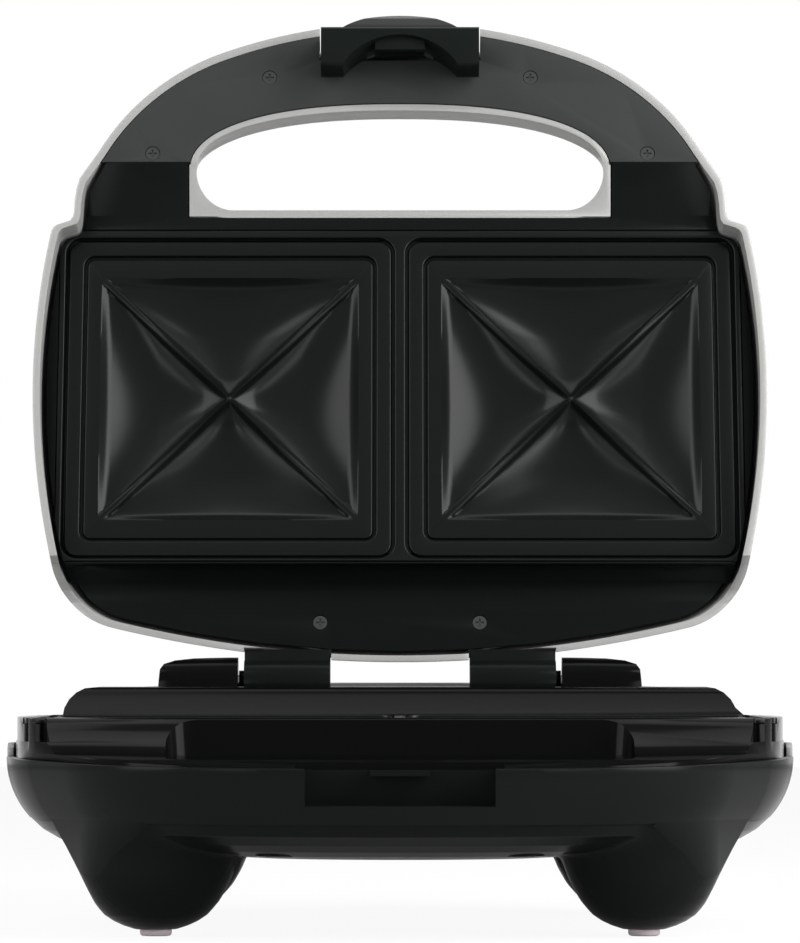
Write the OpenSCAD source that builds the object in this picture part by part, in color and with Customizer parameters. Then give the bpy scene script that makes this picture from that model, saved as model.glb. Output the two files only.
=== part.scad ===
// Sandwich toaster for two sandwiches, with a hinged lid and a clip latch.
// Everything is drawn shut, seen from the hinge: X runs across, Y runs from the hinge line
// towards the handle, Z runs up from the counter. The lid is then opened about the hinge line.

/* [Body] */
// Width across the widest point of the base and of the lid
body_w = 250; // [247:0.5:253]
// Distance from the hinge line to the tip of the arch
arch_tip_y = 235.5; // [235:0.1:236]
// Height of the cooking face of the lower plate above the counter
plate_z = 66.6; // [66:0.1:67]
// Height of the hinge line above the cooking face
hinge_rise = 10.5; // [10.3:0.1:10.7]
// Angle to which the lid is opened
lid_open = 108; // [0:1:108]

/* [Base] */
// Height of the rim of the lower shell at the sides
rim_z = 54.1; // [53.6:0.1:54.4]
// How much lower the rim is at the front
rim_fall = 2.2; // [1.5:0.1:2.4]
// Radius of the bulge along the sides of the lower shell
bulge_r = 28; // [27:0.5:29]
// Height of the belly between the legs
belly_z = 22; // [21:0.5:23]
// Distance of a leg from the middle, across
leg_x = 74.8; // [73:0.1:76]
// Distance of the front legs from the hinge line
leg_front_y = 176; // [174:1:178]
// Distance of the rear legs from the hinge line
leg_rear_y = 22; // [20:1:26]
// Radius of the rubber feet
foot_r = 4.9; // [4.5:0.1:5.5]

/* [Lid] */
// Height of the crown of the lid above the upper plate
crown_h = 33; // [32:0.5:34]
// Height of the top of the handle above the plates
handle_top_h = 12; // [11:0.5:13]
// Thickness of the shells' walls
wall = 2.4; // [2.2:0.1:2.6]
// Half the width of the finger hole in the handle
hole_half_w = 70.2; // [69:0.2:71]

/* [Cooking plates] */
// Side of the outer groove round a cell, across
cell_w = 113.2; // [112:0.2:113.6]
// Side of the outer groove round a cell, front to back
cell_d = 117; // [116:0.2:118]
// Side of the pocket for one sandwich
pocket_w = 88.4; // [86:0.2:90]
// Depth of the deepest point of a pocket
pocket_depth = 9.5; // [8:0.1:10]

/* [Latch] */
// Width of the latch
latch_w = 54.6; // [53:0.2:55]
// Diameter of the latch's axle
latch_pin_d = 3; // [2.8:0.1:3.2]

/* [Hinge] */
// Diameter of the hinge pins
hinge_pin_d = 5; // [4.8:0.1:5.2]
// Radius of the knuckles at the ends of the lid's arms
knuckle_r = 7.5; // [7.3:0.1:7.6]

/* [Hidden] */

$fn = 48;
half_w = body_w / 2;
hinge_z = plate_z + hinge_rise;
// The part's origin lies under the middle of the open toaster.
hinge_back = 81.6;
run_gap = 0.3;
over = 1;
black = [0.1, 0.11, 0.11];
gloss_black = [0.08, 0.085, 0.085];
silver = [0.78, 0.78, 0.76];
steel = [0.62, 0.63, 0.64];
coating = [0.13, 0.14, 0.14];

// Plan of the base and the lid: arcs that meet without a corner
side_r = 290;
side_c = [half_w - side_r, 103];
back_r = 400;
tip_r = 172;
tip_c = [0, arch_tip_y - tip_r];
arch_r = 81.6;
tip_end = 69.1;
arch_c = tip_c + (tip_r - arch_r) * [cos(tip_end), sin(tip_end)];
arch_start = 28.8;
lid_back_y = 6.5;
base_back_y = -20;
lid_back_corner_r = 26.4;
base_back_corner_r = 42;
flank_x = 112;

function arc(c, r, a0, a1, n) =
    [for (i = [0:n - 1]) let (a = a0 + (a1 - a0) * i / n) c + r * [cos(a), sin(a)]];
function angle_of(v) = atan2(v[1], v[0]);
// Centre of a circle of radius r that lies inside the circles (c1, r1) and (c2, r2) and touches both
function nested_c(c1, r1, c2, r2, r) =
    let (
        across = c2 - c1,
        dist = norm(across),
        along = ((r1 - r) ^ 2 - (r2 - r) ^ 2 + dist ^ 2) / (2 * dist),
        off = sqrt((r1 - r) ^ 2 - along ^ 2),
        dir = across / dist
    )
    c1 + dir * along + off * [dir[1], -dir[0]];
// Closed outline from its right half, which starts on the middle line and stops short of the tip
function mirrored(right, tip_y) =
    concat(right, [[0, tip_y]], [for (i = [len(right) - 1:-1:1]) [-right[i][0], right[i][1]]]);
function back_and_side(back_y, corner_r, side_end) =
    let (
        back_c = [0, back_y + back_r],
        corner_c = nested_c(side_c, side_r, back_c, back_r, corner_r),
        back_end = angle_of(corner_c - back_c),
        side_start = angle_of(corner_c - side_c)
    )
    concat(
        arc(back_c, back_r, -90, back_end, 4),
        arc(corner_c, corner_r, back_end, side_start, 6),
        arc(side_c, side_r, side_start, side_end, 7)
    );
arch_points = concat(arc(arch_c, arch_r, arch_start, tip_end, 7), arc(tip_c, tip_r, tip_end, 90, 4));
shoulder_r = 75;
shoulder_start = 8.9;
base_plan = mirrored(concat(
    back_and_side(base_back_y, base_back_corner_r, shoulder_start),
    arc(side_c + (side_r - shoulder_r) * [cos(shoulder_start), sin(shoulder_start)],
        shoulder_r, shoulder_start, arch_start, 5),
    arch_points
), arch_tip_y);
lid_shoulder_end = 10.7;
lid_corner_r = 4;
lid_corner_c = side_c + (side_r - lid_corner_r) * [cos(lid_shoulder_end), sin(lid_shoulder_end)];
lid_plan = mirrored(concat(
    back_and_side(lid_back_y, lid_back_corner_r, lid_shoulder_end),
    arc(lid_corner_c, lid_corner_r, lid_shoulder_end, 75, 4),
    [[flank_x + 1.4, 161.2], [flank_x + 0.3, 163.4], [flank_x, 168.6], [flank_x - 1.6, 177]],
    arch_points
), arch_tip_y);

// Closed skin through rings of equally many points, with a pole at each end
function skin_faces(n, rings) = concat(
    [for (j = [0:n - 1]) [n * rings, (j + 1) % n, j]],
    [for (i = [0:rings - 2], j = [0:n - 1]) [i * n + j, i * n + (j + 1) % n, (i + 1) * n + j]],
    [for (i = [0:rings - 2], j = [0:n - 1])
        [(i + 1) * n + j, i * n + (j + 1) % n, (i + 1) * n + (j + 1) % n]],
    [for (j = [0:n - 1]) [n * rings + 1, (rings - 1) * n + j, (rings - 1) * n + (j + 1) % n]]
);
module skin(rings, first_pole, last_pole) {
    points = concat([for (ring = rings) each ring], [first_pole, last_pole]);
    polyhedron(points, skin_faces(len(rings[0]), len(rings)), convexity = 8);
}
module prism(plan, z0, z1) {
    translate([0, 0, z0]) linear_extrude(z1 - z0) polygon(plan);
}
// A side profile, given as points (y, z), carried across the toaster from x0 to x1
module across(points, x0, x1) {
    translate([x0, 0, 0]) rotate([90, 0, 90]) linear_extrude(x1 - x0) polygon(points);
}
// A front profile, given as points (x, z), carried from y0 to y1
module along(points, y0, y1) {
    translate([0, y1, 0]) rotate([90, 0, 0]) linear_extrude(y1 - y0) polygon(points);
}
module both_sides() {
    children();
    mirror([1, 0, 0]) children();
}
module on_toaster() {
    translate([0, hinge_back, 0]) rotate([0, 0, 180]) children();
}
module on_lid() {
    on_toaster() translate([0, 0, hinge_z]) rotate([lid_open, 0, 0]) translate([0, 0, -hinge_z]) children();
}
function inset(plan, middle_y, in_x, in_y) =
    [for (p = plan) [p[0] * (1 - in_x / half_w), middle_y + (p[1] - middle_y) * (1 - in_y / 115)]];
function raised(ring, z) = [for (p = ring) [p[0], p[1], z]];

// ---------- Base ----------
base_mid_y = 112;
apron_foot_z = 35.2;
crease = 2.6;
trim_end_y = 110;
trim_foot_z = 52.6;
leg_z = 2;
notch_half_w = 28.5;
notch_floor_z = 40.6;
notch_back_y = 210.5;

function rim_height(y) =
    y < trim_end_y + 2 ? trim_foot_z : rim_z - rim_fall * max(0, y - 150) / (arch_tip_y - 150);
function bulge(z) = bulge_r * (1 - sqrt(1 - ((rim_z - z) / bulge_r) ^ 2));
function shell_rim(extra) =
    [for (p = inset(base_plan, base_mid_y, extra, extra)) [p[0], p[1], rim_height(p[1])]];
function shell_ring(z, in_x, in_y) = raised(inset(base_plan, base_mid_y, in_x, in_y), z);

// Levels of the shell as (height, inset at the sides, inset at front and back)
apron_levels = [for (z = [50, 45.5, 41, 38, apron_foot_z]) [z, bulge(z), 2.4 * (rim_z - z) / (rim_z - apron_foot_z)]];
belly_levels = [
    [apron_foot_z - 0.2, bulge(apron_foot_z), 2.4 + crease],
    [31.5, bulge(31.5), 8.5], [28.6, 16.4, 15.5], [26.4, 25, 24], [24.6, 42, 38], [belly_z + 0.6, 75, 70]
];
inner_levels = [[25.4, 76, 71], [27.2, 42, 39], [29.2, 25.6, 25], [32.4, 17, 17], [37, 9.4, 7.6],
    [44, 5, 4.4], [49, 2.6, 2.6]];

module base_shell() {
    rings = concat(
        [for (l = inner_levels) shell_ring(l[0], l[1], l[2])],
        [shell_rim(wall), shell_rim(0)],
        [for (l = apron_levels) shell_ring(l[0], l[1], l[2])],
        [for (l = belly_levels) shell_ring(l[0], l[1], l[2])]
    );
    skin(rings, [0, base_mid_y, belly_z + 2.6], [0, base_mid_y, belly_z]);
}

// A leg is a bowl that flares into the belly, a little longer than it is wide: (height, radius)
leg_profile = [[leg_z, 6.4], [3.2, 10], [6, 15], [10, 19], [15.5, 22], [21, 24.4], [27, 27.4], [31, 31]];
leg_stretch = 2;
module leg_bowl() {
    for (i = [0:len(leg_profile) - 2]) {
        low = leg_profile[i];
        high = leg_profile[i + 1];
        hull() for (dy = [-leg_stretch, leg_stretch])
            translate([0, dy, low[0]]) cylinder(r1 = low[1], r2 = high[1], h = high[0] - low[0], $fn = 26);
    }
}
leg_places = [[leg_x, leg_front_y], [-leg_x, leg_front_y], [leg_x, leg_rear_y], [-leg_x, leg_rear_y]];
foot_peg_r = 2.2;
screw_places = [[38, 190], [-38, 190], [38, 30], [-38, 30]];
screw_seat_z = 28;
screw_boss_z = 25;
screw_seat_t = 3;
gland_z = 44;
gland_r = 7.2;
pad_z = 29.2;

module notch_hollow(extra) {
    translate([-notch_half_w - extra, notch_back_y - extra, notch_floor_z - extra])
        cube([2 * (notch_half_w + extra), 60, 60]);
}
module base_cover() {
    color(black) difference() {
        union() {
            difference() {
                base_shell();
                for (place = screw_places) translate([place[0], place[1], 0]) cylinder(r = 5.4, h = 40, $fn = 20);
            }
            intersection() {
                for (place = leg_places) translate([place[0], place[1], 0]) leg_bowl();
                prism(inset(base_plan, base_mid_y, bulge(apron_foot_z) - 1, 3.4), 0, 30.8);
            }
            for (place = screw_places) translate([place[0], place[1], screw_boss_z])
                cylinder(r = 6, h = screw_seat_z + screw_seat_t - screw_boss_z, $fn = 20);
            intersection() {
                notch_hollow(wall);
                prism(inset(base_plan, base_mid_y, 8, 3.4), notch_floor_z - wall, rim_z - rim_fall - 0.6);
            }
            // Pad for the terminal block
            translate([-20, 14, pad_z - 1.7]) cube([40, 18, 1.7]);
        }
        for (place = leg_places) translate([place[0], place[1], 0]) {
            cylinder(r = foot_peg_r, h = 12, $fn = 20);
            translate([0, 0, 9]) cylinder(r1 = 8, r2 = 14, h = 22, $fn = 20);
        }
        for (place = screw_places) translate([place[0], place[1], 0]) {
            cylinder(r = 2.2, h = 40, $fn = 20);
            cylinder(r = 4.2, h = screw_seat_z, $fn = 20);
        }
        notch_hollow(0);
        // Opening for the cord gland in the back wall
        translate([0, base_back_y + 12, gland_z]) rotate([90, 0, 0]) cylinder(r = gland_r, h = 30, $fn = 32);
    }
    // Catch for the latch's lip on the back wall of the notch
    color(black) translate([-catch_half_w, notch_back_y - 0.4, catch_z]) cube([2 * catch_half_w, catch_y - notch_back_y + 0.4, catch_t]);
}
catch_half_w = 9;
catch_z = 49.6;
catch_t = 1.6;
catch_y = 219;

// The silver band stands on the lower shell along the sides and the back
trim_side_z = 58.2;
trim_back_z = 77.1;
trim_t = 2;
module base_trim() {
    profile = [
        [-40, trim_foot_z], [trim_end_y, trim_foot_z], [trim_end_y, trim_side_z - 1.4],
        [trim_end_y - 3, trim_side_z], [45, trim_side_z], [22, 62.5], [4, 70.5], [-6, 75.2],
        [base_back_y + 0.6, trim_back_z], [-40, trim_back_z]
    ];
    color(silver) difference() {
        intersection() {
            prism(base_plan, trim_foot_z, trim_back_z + over);
            across(profile, -half_w - over, half_w + over);
        }
        prism(inset(base_plan, base_mid_y, trim_t, trim_t), trim_foot_z - over, trim_back_z + 2 * over);
    }
}

// Upper moulding of the base
flange_t = 2.4;
wall_top_y = 163;
wall_foot_y = 178;
wall_foot_z = 55.6;
platform_back_y = 38.5;
niche_half_w = 72;
niche_r = 10;
plate_seat = 2;
plate_half_w = 117;
plate_y0 = 40;
plate_y1 = 160.6;
hump_half_w = 113.6;
hump_z = 75.8;
hump_y0 = 12;
block_x0 = 54.5;
block_x1 = 81.2;
block_r = 8.5;
floor_front_z = 51.6;

function floor_z(y) = wall_foot_z - (wall_foot_z - floor_front_z) * max(0, y - wall_foot_y) / (arch_tip_y - wall_foot_y);

module frame_floor() {
    profile = [
        [-30, rim_z - flange_t], [150, rim_z - flange_t], [158, wall_foot_z - flange_t],
        [wall_foot_y, wall_foot_z - flange_t], [arch_tip_y + 4, floor_z(arch_tip_y + 4) - flange_t],
        [arch_tip_y + 4, floor_z(arch_tip_y + 4)], [wall_foot_y, wall_foot_z], [158, wall_foot_z],
        [150, rim_z], [-30, rim_z]
    ];
    intersection() {
        across(profile, -half_w, half_w);
        prism(inset(base_plan, base_mid_y, wall + 0.4, wall + 0.4), 40, 70);
    }
}
module platform_block() {
    // Domed front wall: a flat slope with a rounded top edge
    profile = [
        [platform_back_y, rim_z - flange_t], [platform_back_y, plate_z], [wall_top_y - 2.2, plate_z],
        [wall_top_y + 0.2, plate_z - 0.5], [wall_top_y + 2.4, plate_z - 1.8], [wall_top_y + 5, plate_z - 4],
        [wall_foot_y - 3.4, wall_foot_z + 2.6], [wall_foot_y - 1, wall_foot_z + 0.6],
        [wall_foot_y, wall_foot_z - flange_t]
    ];
    intersection() {
        across(profile, -half_w, half_w);
        prism(inset(base_plan, base_mid_y, 3, 3), 40, 70);
    }
}
module niche() {
    // Rounded in plan, so its mouth has round upper corners where it meets the sloped wall
    translate([0, 0, rim_z + 0.9]) linear_extrude(20) union() {
        translate([-niche_half_w, wall_top_y + 0.4 + niche_r]) square([2 * niche_half_w, 40]);
        translate([-niche_half_w + niche_r, wall_top_y + 0.4]) square([2 * (niche_half_w - niche_r), 40]);
        both_sides() translate([niche_half_w - niche_r, wall_top_y + 0.4 + niche_r]) circle(niche_r);
    }
}
module hump() {
    ends = concat(
        [[-hump_half_w, rim_z - flange_t], [hump_half_w, rim_z - flange_t], [hump_half_w, plate_z]],
        arc([hump_half_w - 12, hump_z - 10], 10, 0, 90, 5),
        [[hump_half_w - 14, hump_z], [-hump_half_w + 14, hump_z]],
        arc([-hump_half_w + 12, hump_z - 10], 10, 90, 180, 5),
        [[-hump_half_w, plate_z]]
    );
    profile = concat(
        [[hump_y0, rim_z - flange_t], [platform_back_y + over, rim_z - flange_t],
         [platform_back_y + over, plate_z], [37.5, plate_z]],
        arc([27, hump_z - 4], 4, 25, 90, 4),
        [[27, hump_z], [hump_y0, hump_z]]
    );
    intersection() {
        along(ends, 0, 60);
        across(profile, -half_w, half_w);
        prism(inset(base_plan, base_mid_y, 3, 3), 40, 90);
    }
}
module hinge_block() {
    crown = [
        [block_x0, rim_z - flange_t], [block_x1, rim_z - flange_t], [block_x1, 76], [block_x1 - 0.5, 81.6],
        [block_x1 - 1.8, 83.4], [block_x1 - 5.6, 84.6], [block_x1 - 12, 85.3], [block_x0 + 3, 85.6], [block_x0, 85.6]
    ];
    intersection() {
        along(crown, -20, 20);
        union() {
            translate([block_x0, 0, hinge_z]) rotate([0, 90, 0]) cylinder(r = block_r, h = block_x1 - block_x0, $fn = 64);
            translate([block_x0, -block_r, rim_z - flange_t])
                cube([block_x1 - block_x0, 2 * block_r, hinge_z - rim_z + flange_t]);
        }
    }
}
pin_len_in_block = 13;
hollow_margin = 4;
post_len = 9;
lug_t = 2.7;
post_r = 3.6;
post_places = [[108.8, 60], [-108.8, 60], [108.8, 140], [-108.8, 140]];
// Hollow of a frame under its plate
module plate_hollow(z0, z1) {
    translate([-plate_half_w + hollow_margin, plate_y0 + 3, z0])
        cube([2 * (plate_half_w - hollow_margin), plate_y1 - plate_y0 - 6, z1 - z0]);
}
module base_frame() {
    color(gloss_black) difference() {
        union() {
            frame_floor();
            difference() {
                platform_block();
                plate_hollow(40, 80);
            }
            hump();
            both_sides() hinge_block();
            for (place = screw_places) translate([place[0], place[1], screw_seat_z + screw_seat_t])
                cylinder(r = 4, h = rim_z - 1 - screw_seat_z - screw_seat_t);
            for (place = post_places) translate([place[0], place[1], 0])
                lug(plate_z - post_len - lug_t, plate_z - post_len);
        }
        // Seat of the plate's flange
        translate([-plate_half_w - run_gap, plate_y0 - run_gap, plate_z - plate_seat])
            cube([2 * (plate_half_w + run_gap), plate_y1 - plate_y0 + 2 * run_gap, 10]);
        difference() {
            plate_hollow(40, 80);
            for (place = post_places) translate([place[0], place[1], 0])
                lug(plate_z - post_len - lug_t, plate_z - post_len);
        }
        niche();
        notch_hollow(wall + 0.3);
        rim_slot();
        // Room for the lid's arms behind the hump
        both_sides() translate([22.5, -8.4, rim_z - 0.01]) cube([block_x0 - 22.5 - 0.01, hump_y0 + 8.4 - 0.8, 40]);
        both_sides() translate([block_x0 - over, 0, hinge_z]) rotate([0, 90, 0])
            cylinder(d = hinge_pin_d, h = pin_len_in_block + over, $fn = 64);
        for (place = screw_places) translate([place[0], place[1], 30]) cylinder(r = 1.4, h = 16, $fn = 32);
        for (place = post_places) translate([place[0], place[1], 40]) cylinder(r = 2.2, h = 20, $fn = 32);
    }
}
// Slot that takes the lid's rim when it is shut
module rim_slot() {
    difference() {
        prism(inset(lid_plan, dome_mid_y, -0.4, -0.4), lid_rim_z - 0.4, 80);
        prism(inset(lid_plan, dome_mid_y, wall + over, wall + over), 40, 90);
        translate([-half_w - over, -30, 40]) cube([body_w + 2 * over, 66, 50]);
    }
}
// Lug on the inner side of a frame's wall, which carries one post of the plate
module lug(z0, z1) {
    translate([-4.4, -6, z0]) cube([8.8, 12, z1 - z0]);
}

// ---------- Cooking plates ----------
// A plate lies with its cooking face up at Z = 0.
plates_apart = 0.6;
upper_face_z = plate_z + plates_apart;
cell_x = 58.4;
cell_y = 99.4;
cell_step = 1;
land_w = 100.6;
land_d = 104.2;
pan_depth = 13;
pan_half = 46;
rib_flat = 0.94;
element_r = 3.2;
element_z = -pan_depth - 3.4;
element_y0 = 65;
element_y1 = 135;
element_bend_x = 60;
element_end_x = -78;
shield_z = -21.6;
shield_t = 0.8;
shield_half_w = 88;
shield_y0 = 56;
shield_y1 = 144;
shield_posts = [[0, 76], [0, 124]];
plate_screw_r = 1.9;
plate_bore_r = 1.8;
// Distance of the plates' flanges from the outside of the lid's rim
flange_gap = 3.8;

module rounded_block(w, d, r, z0, z1) {
    translate([0, 0, z0]) linear_extrude(z1 - z0) union() {
        square([w - 2 * r, d], center = true);
        square([w, d - 2 * r], center = true);
        for (sx = [-1, 1], sy = [-1, 1]) translate([sx * (w / 2 - r), sy * (d / 2 - r)]) circle(r);
    }
}
// Pocket: four scalloped wells that meet in flat-topped ribs along the diagonals
side_steps = [-1, -rib_flat, -0.8, -0.45, 0, 0.45, 0.8, rib_flat];
pocket_edge = concat(
    [for (t = side_steps) [t, -1]], [for (t = side_steps) [1, t]],
    [for (t = side_steps) [-t, 1]], [for (t = side_steps) [-1, -t]]
);
function well(a, p) =
    let (b = min(abs(p[0]), abs(p[1])))
    b >= rib_flat ? 0 : sin(150 * a) ^ 0.8 * (1 - (b / rib_flat) ^ 2.4);
function pocket_ring(a) =
    [for (p = pocket_edge) [p[0] * a * pocket_w / 2, p[1] * a * pocket_w / 2,
        -2 * cell_step - 0.6 - (pocket_depth - 2 * cell_step - 0.6) * well(a, p)]];
module pocket() {
    rings = concat(
        [[for (p = pocket_edge) [p[0] * pocket_w / 2, p[1] * pocket_w / 2, over]]],
        [for (a = [1, 0.9, 0.76, 0.58, 0.38, 0.18]) pocket_ring(a)]
    );
    skin(rings, [0, 0, over], [0, 0, -2 * cell_step - 0.6]);
}
module cooking_plate() {
    difference() {
        union() {
            intersection() {
                translate([-plate_half_w, plate_y0, -plate_seat])
                    cube([2 * plate_half_w, plate_y1 - plate_y0, plate_seat]);
                prism(inset(lid_plan, dome_mid_y, flange_gap, flange_gap), -plate_seat - over, over);
            }
            translate([-plate_half_w + hollow_margin + 0.4, plate_y0 + 3.4, -5])
                cube([2 * (plate_half_w - hollow_margin - 0.4), plate_y1 - plate_y0 - 6.8, 4]);
            both_sides() translate([cell_x, cell_y, 0]) rounded_block(2 * pan_half, 2 * pan_half, 8, -pan_depth, -4);
            for (place = post_places) translate([place[0], place[1], -post_len]) cylinder(r = post_r, h = post_len - 4);
            for (place = shield_posts) translate([place[0], place[1], shield_z]) cylinder(r = 3.4, h = -shield_z - 4);
            // Saddles that carry the heating element
            for (x = [-48, 48], y = [element_y0, element_y1]) translate([x - 4, y - 5, element_z - element_r - 1.4])
                cube([8, 10, -pan_depth - element_z + element_r + 1.5]);
        }
        both_sides() translate([cell_x, cell_y, 0]) {
            rounded_block(cell_w, cell_d, 5, -cell_step, over);
            rounded_block(land_w, land_d, 4, -2 * cell_step, over);
            pocket();
        }
        for (place = post_places) translate([place[0], place[1], -post_len - over]) cylinder(r = plate_bore_r, h = 6);
        for (place = shield_posts) translate([place[0], place[1], shield_z - over]) cylinder(r = plate_bore_r, h = 9);
        for (y = [element_y0, element_y1]) translate([-60, y, element_z]) rotate([0, 90, 0]) cylinder(r = element_r, h = 120);
    }
}
module heating_element() {
    for (y = [element_y0, element_y1]) {
        translate([element_end_x, y, element_z]) rotate([0, 90, 0]) cylinder(r = element_r, h = element_bend_x - element_end_x);
        translate([element_end_x - 9, y, element_z]) rotate([0, 90, 0]) cylinder(r = 1.4, h = 9.5);
    }
    translate([element_bend_x, (element_y0 + element_y1) / 2, element_z])
        rotate([0, 0, -90]) rotate_extrude(angle = 180) translate([(element_y1 - element_y0) / 2, 0]) circle(element_r);
}
thermostat_r = 10;
fuse_half_len = 11;
module heat_shield() {
    difference() {
        union() {
            translate([-shield_half_w, shield_y0, shield_z - shield_t]) cube([2 * shield_half_w, shield_y1 - shield_y0, shield_t]);
            // Turned-up edges along the long sides
            for (y = [shield_y0, shield_y1 - shield_t]) translate([-shield_half_w, y, shield_z - shield_t])
                cube([2 * shield_half_w, shield_t, 3.4]);
        }
        for (place = shield_posts) translate([place[0], place[1], shield_z - 5]) cylinder(r = 2.2, h = 10);
        translate([cell_x, cell_y, shield_z - 5]) cylinder(r = thermostat_r + 2, h = 10);
        translate([-cell_x - fuse_half_len - 2, cell_y - 7, shield_z - 5]) cube([2 * fuse_half_len + 4, 14, 10]);
    }
}
// Pan-head screw that points up, with its head below z = 0
module screw(shank_r, len, head_r, head_h) {
    difference() {
        union() {
            translate([0, 0, -head_h]) cylinder(r = head_r, h = head_h);
            cylinder(r = shank_r, h = len);
        }
        for (turn = [0, 90]) rotate([0, 0, turn]) translate([-head_r * 0.6, -head_r * 0.14, -head_h - over])
            cube([head_r * 1.2, head_r * 0.28, over + head_h * 0.5]);
    }
}
module plate_screws() {
    for (place = post_places) translate([place[0], place[1], -post_len - lug_t]) screw(plate_screw_r, 7, 3.2, 2.2);
    for (place = shield_posts) translate([place[0], place[1], shield_z - shield_t]) screw(plate_screw_r, 7, 3.4, 2);
}
module face_up() {
    translate([0, 0, plate_z]) children();
}
module face_down() {
    translate([0, 0, upper_face_z]) mirror([0, 0, 1]) children();
}
module lower_plate() { color(coating) face_up() cooking_plate(); }
module lower_element() { color(steel) face_up() heating_element(); }
module lower_reflector() { color(steel) face_up() heat_shield(); }
module lower_plate_screws() { color(steel) face_up() plate_screws(); }
module upper_plate() { color(coating) face_down() cooking_plate(); }
module upper_element() { color(steel) face_down() heating_element(); }
module upper_reflector() { color(steel) face_down() heat_shield(); }
module upper_plate_screws() { color(steel) face_down() plate_screws(); }

// ---------- Inside the base ----------
module thermostat() {
    color("tan") translate([cell_x, cell_y, plate_z - pan_depth - 7]) cylinder(r = thermostat_r, h = 7);
    color("silver") translate([cell_x, cell_y, plate_z - pan_depth - 9]) cylinder(r = thermostat_r - 2.5, h = 2);
    color("silver") for (side = [-1, 1]) translate([cell_x + side * 4 - 0.4, cell_y - 3, plate_z - pan_depth - 15])
        cube([0.8, 6, 6]);
}
module thermal_fuse() {
    color("white") translate([-cell_x - fuse_half_len, cell_y - 4, plate_z - pan_depth - 6]) cube([2 * fuse_half_len, 8, 6]);
    color("silver") for (side = [-1, 1]) translate([-cell_x + side * (fuse_half_len + 3), cell_y, plate_z - pan_depth - 3])
        rotate([0, 90, 0]) cylinder(r = 0.6, h = 6.2, center = true);
}
module terminal_block() {
    color("ivory") difference() {
        translate([-17, 15, pad_z]) cube([34, 16, 13]);
        for (x = [-11, 0, 11]) {
            translate([x, 13, pad_z + 5]) rotate([-90, 0, 0]) cylinder(r = 1.8, h = 18);
            translate([x, 22, pad_z + 9]) cylinder(r = 1.6, h = 5);
        }
    }
}
// Bushed inlet in the back wall. Its bore is open.
module cord_gland() {
    color(black) difference() {
        union() {
            translate([0, base_back_y + 9, gland_z]) rotate([90, 0, 0]) cylinder(r = gland_r + 0.08, h = 11);
            translate([0, base_back_y + 9, gland_z]) rotate([90, 0, 0]) cylinder(r = gland_r - 2, h = 14);
        }
        translate([0, base_back_y + 10, gland_z]) rotate([90, 0, 0]) cylinder(r = 3.6, h = 16);
    }
}
module base_screws() {
    color(steel) for (place = screw_places) translate([place[0], place[1], screw_seat_z]) screw(1.48, 14, 3.8, 2.4);
}
module foot(place) {
    color([0.55, 0.5, 0.52]) translate([place[0], place[1], 0]) {
        rotate_extrude() polygon([[0, 0], [foot_r - 0.8, 0], [foot_r - 0.2, 0.3], [foot_r, 0.9], [foot_r, leg_z], [0, leg_z]]);
        translate([0, 0, leg_z - 0.01]) cylinder(r = foot_peg_r + 0.08, h = 6);
    }
}
arm_x0 = 23.5;
arm_x1 = 52.5;
arm_bore_x = 39;
module hinge_pin() {
    color(steel) translate([arm_bore_x + 1, 0, hinge_z]) rotate([0, 90, 0])
        cylinder(d = hinge_pin_d, h = block_x0 + pin_len_in_block - arm_bore_x - 1, $fn = 64);
}

// ---------- Lid ----------
rim_drop = 7;
lid_rim_z = plate_z - rim_drop;
dome_mid_y = 100;
dome_power = 4;
crown_y1 = 142;
handle_y0 = 182;
panel_z = plate_z - 7.4;
panel_t = 2.4;
ramp_y0 = 166;
ramp_y1 = 182.8;
back_panel_z = 77.6;
cove_y = 29;
slot_y = 221;
slot_half_w = 27.9;
handle_screw_places = [[45.2, 214.7], [-45.2, 214.7], [85.4, 186.1], [-85.4, 186.1]];
lid_screw_places = [[27, 21.6], [-27, 21.6]];
lens_places = [[-13, 126], [13, 126]];
lens_r = 4;

// Finger hole: level below, a flattened arch above
hole_y0 = 168.2;
hole_y1 = 202.4;
hole_waist_y = 180;
hole_corner = [13, hole_waist_y - hole_y0];
hole_power = 2.35;
hole_mid_y = (hole_y0 + hole_y1) / 2;
hole_plan = mirrored(concat(
    [[0, hole_y0]],
    [for (a = [-90:15:-15]) [hole_half_w - hole_corner[0] * (1 - cos(a)), hole_waist_y + hole_corner[1] * sin(a)]],
    [for (a = [0, 12, 24, 36, 48, 60, 70, 80]) [hole_half_w * cos(a) ^ (2 / hole_power),
        hole_waist_y + (hole_y1 - hole_waist_y) * sin(a) ^ (2 / hole_power)]]
), hole_y1);
function grown(plan, by) =
    [for (p = plan) [p[0] * (1 + by / hole_half_w),
        hole_mid_y + (p[1] - hole_mid_y) * (1 + by / (hole_mid_y - hole_y0))]];
collar_t = 2.3;
collar_half_w = hole_half_w + collar_t;
collar_y0 = hole_y0 - collar_t;
// Above this height the hole's edge is rounded outwards
flare_z = plate_z - 2;
flare_h = 14.4;
flare_w = 7;
function flare(z) = z < flare_z ? 0 : flare_w * (1 - sqrt(1 - (min(z - flare_z, flare_h) / flare_h) ^ 2));
module hole_body(by, z0) {
    rings = [for (z = [120, flare_z + flare_h, 77.6, 75.4, 72.4, 68.8, flare_z, z0]) raised(grown(hole_plan, by + flare(z)), z)];
    skin(rings, [0, hole_mid_y, 120], [0, hole_mid_y, z0]);
}
// Outline of the hole's collar, which has square lower corners
module collar_prism(by, z0, z1) {
    prism(grown(hole_plan, collar_t + by), z0, z1);
    translate([-collar_half_w - by, collar_y0 - by, z0]) cube([2 * (collar_half_w + by), 17, z1 - z0]);
}

function smooth(t) = let (u = min(1, max(0, t))) u * u * (3 - 2 * u);
function dome_height(y) =
    rim_drop + crown_h - (crown_h - handle_top_h) * smooth((y - crown_y1) / (handle_y0 - crown_y1));
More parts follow.
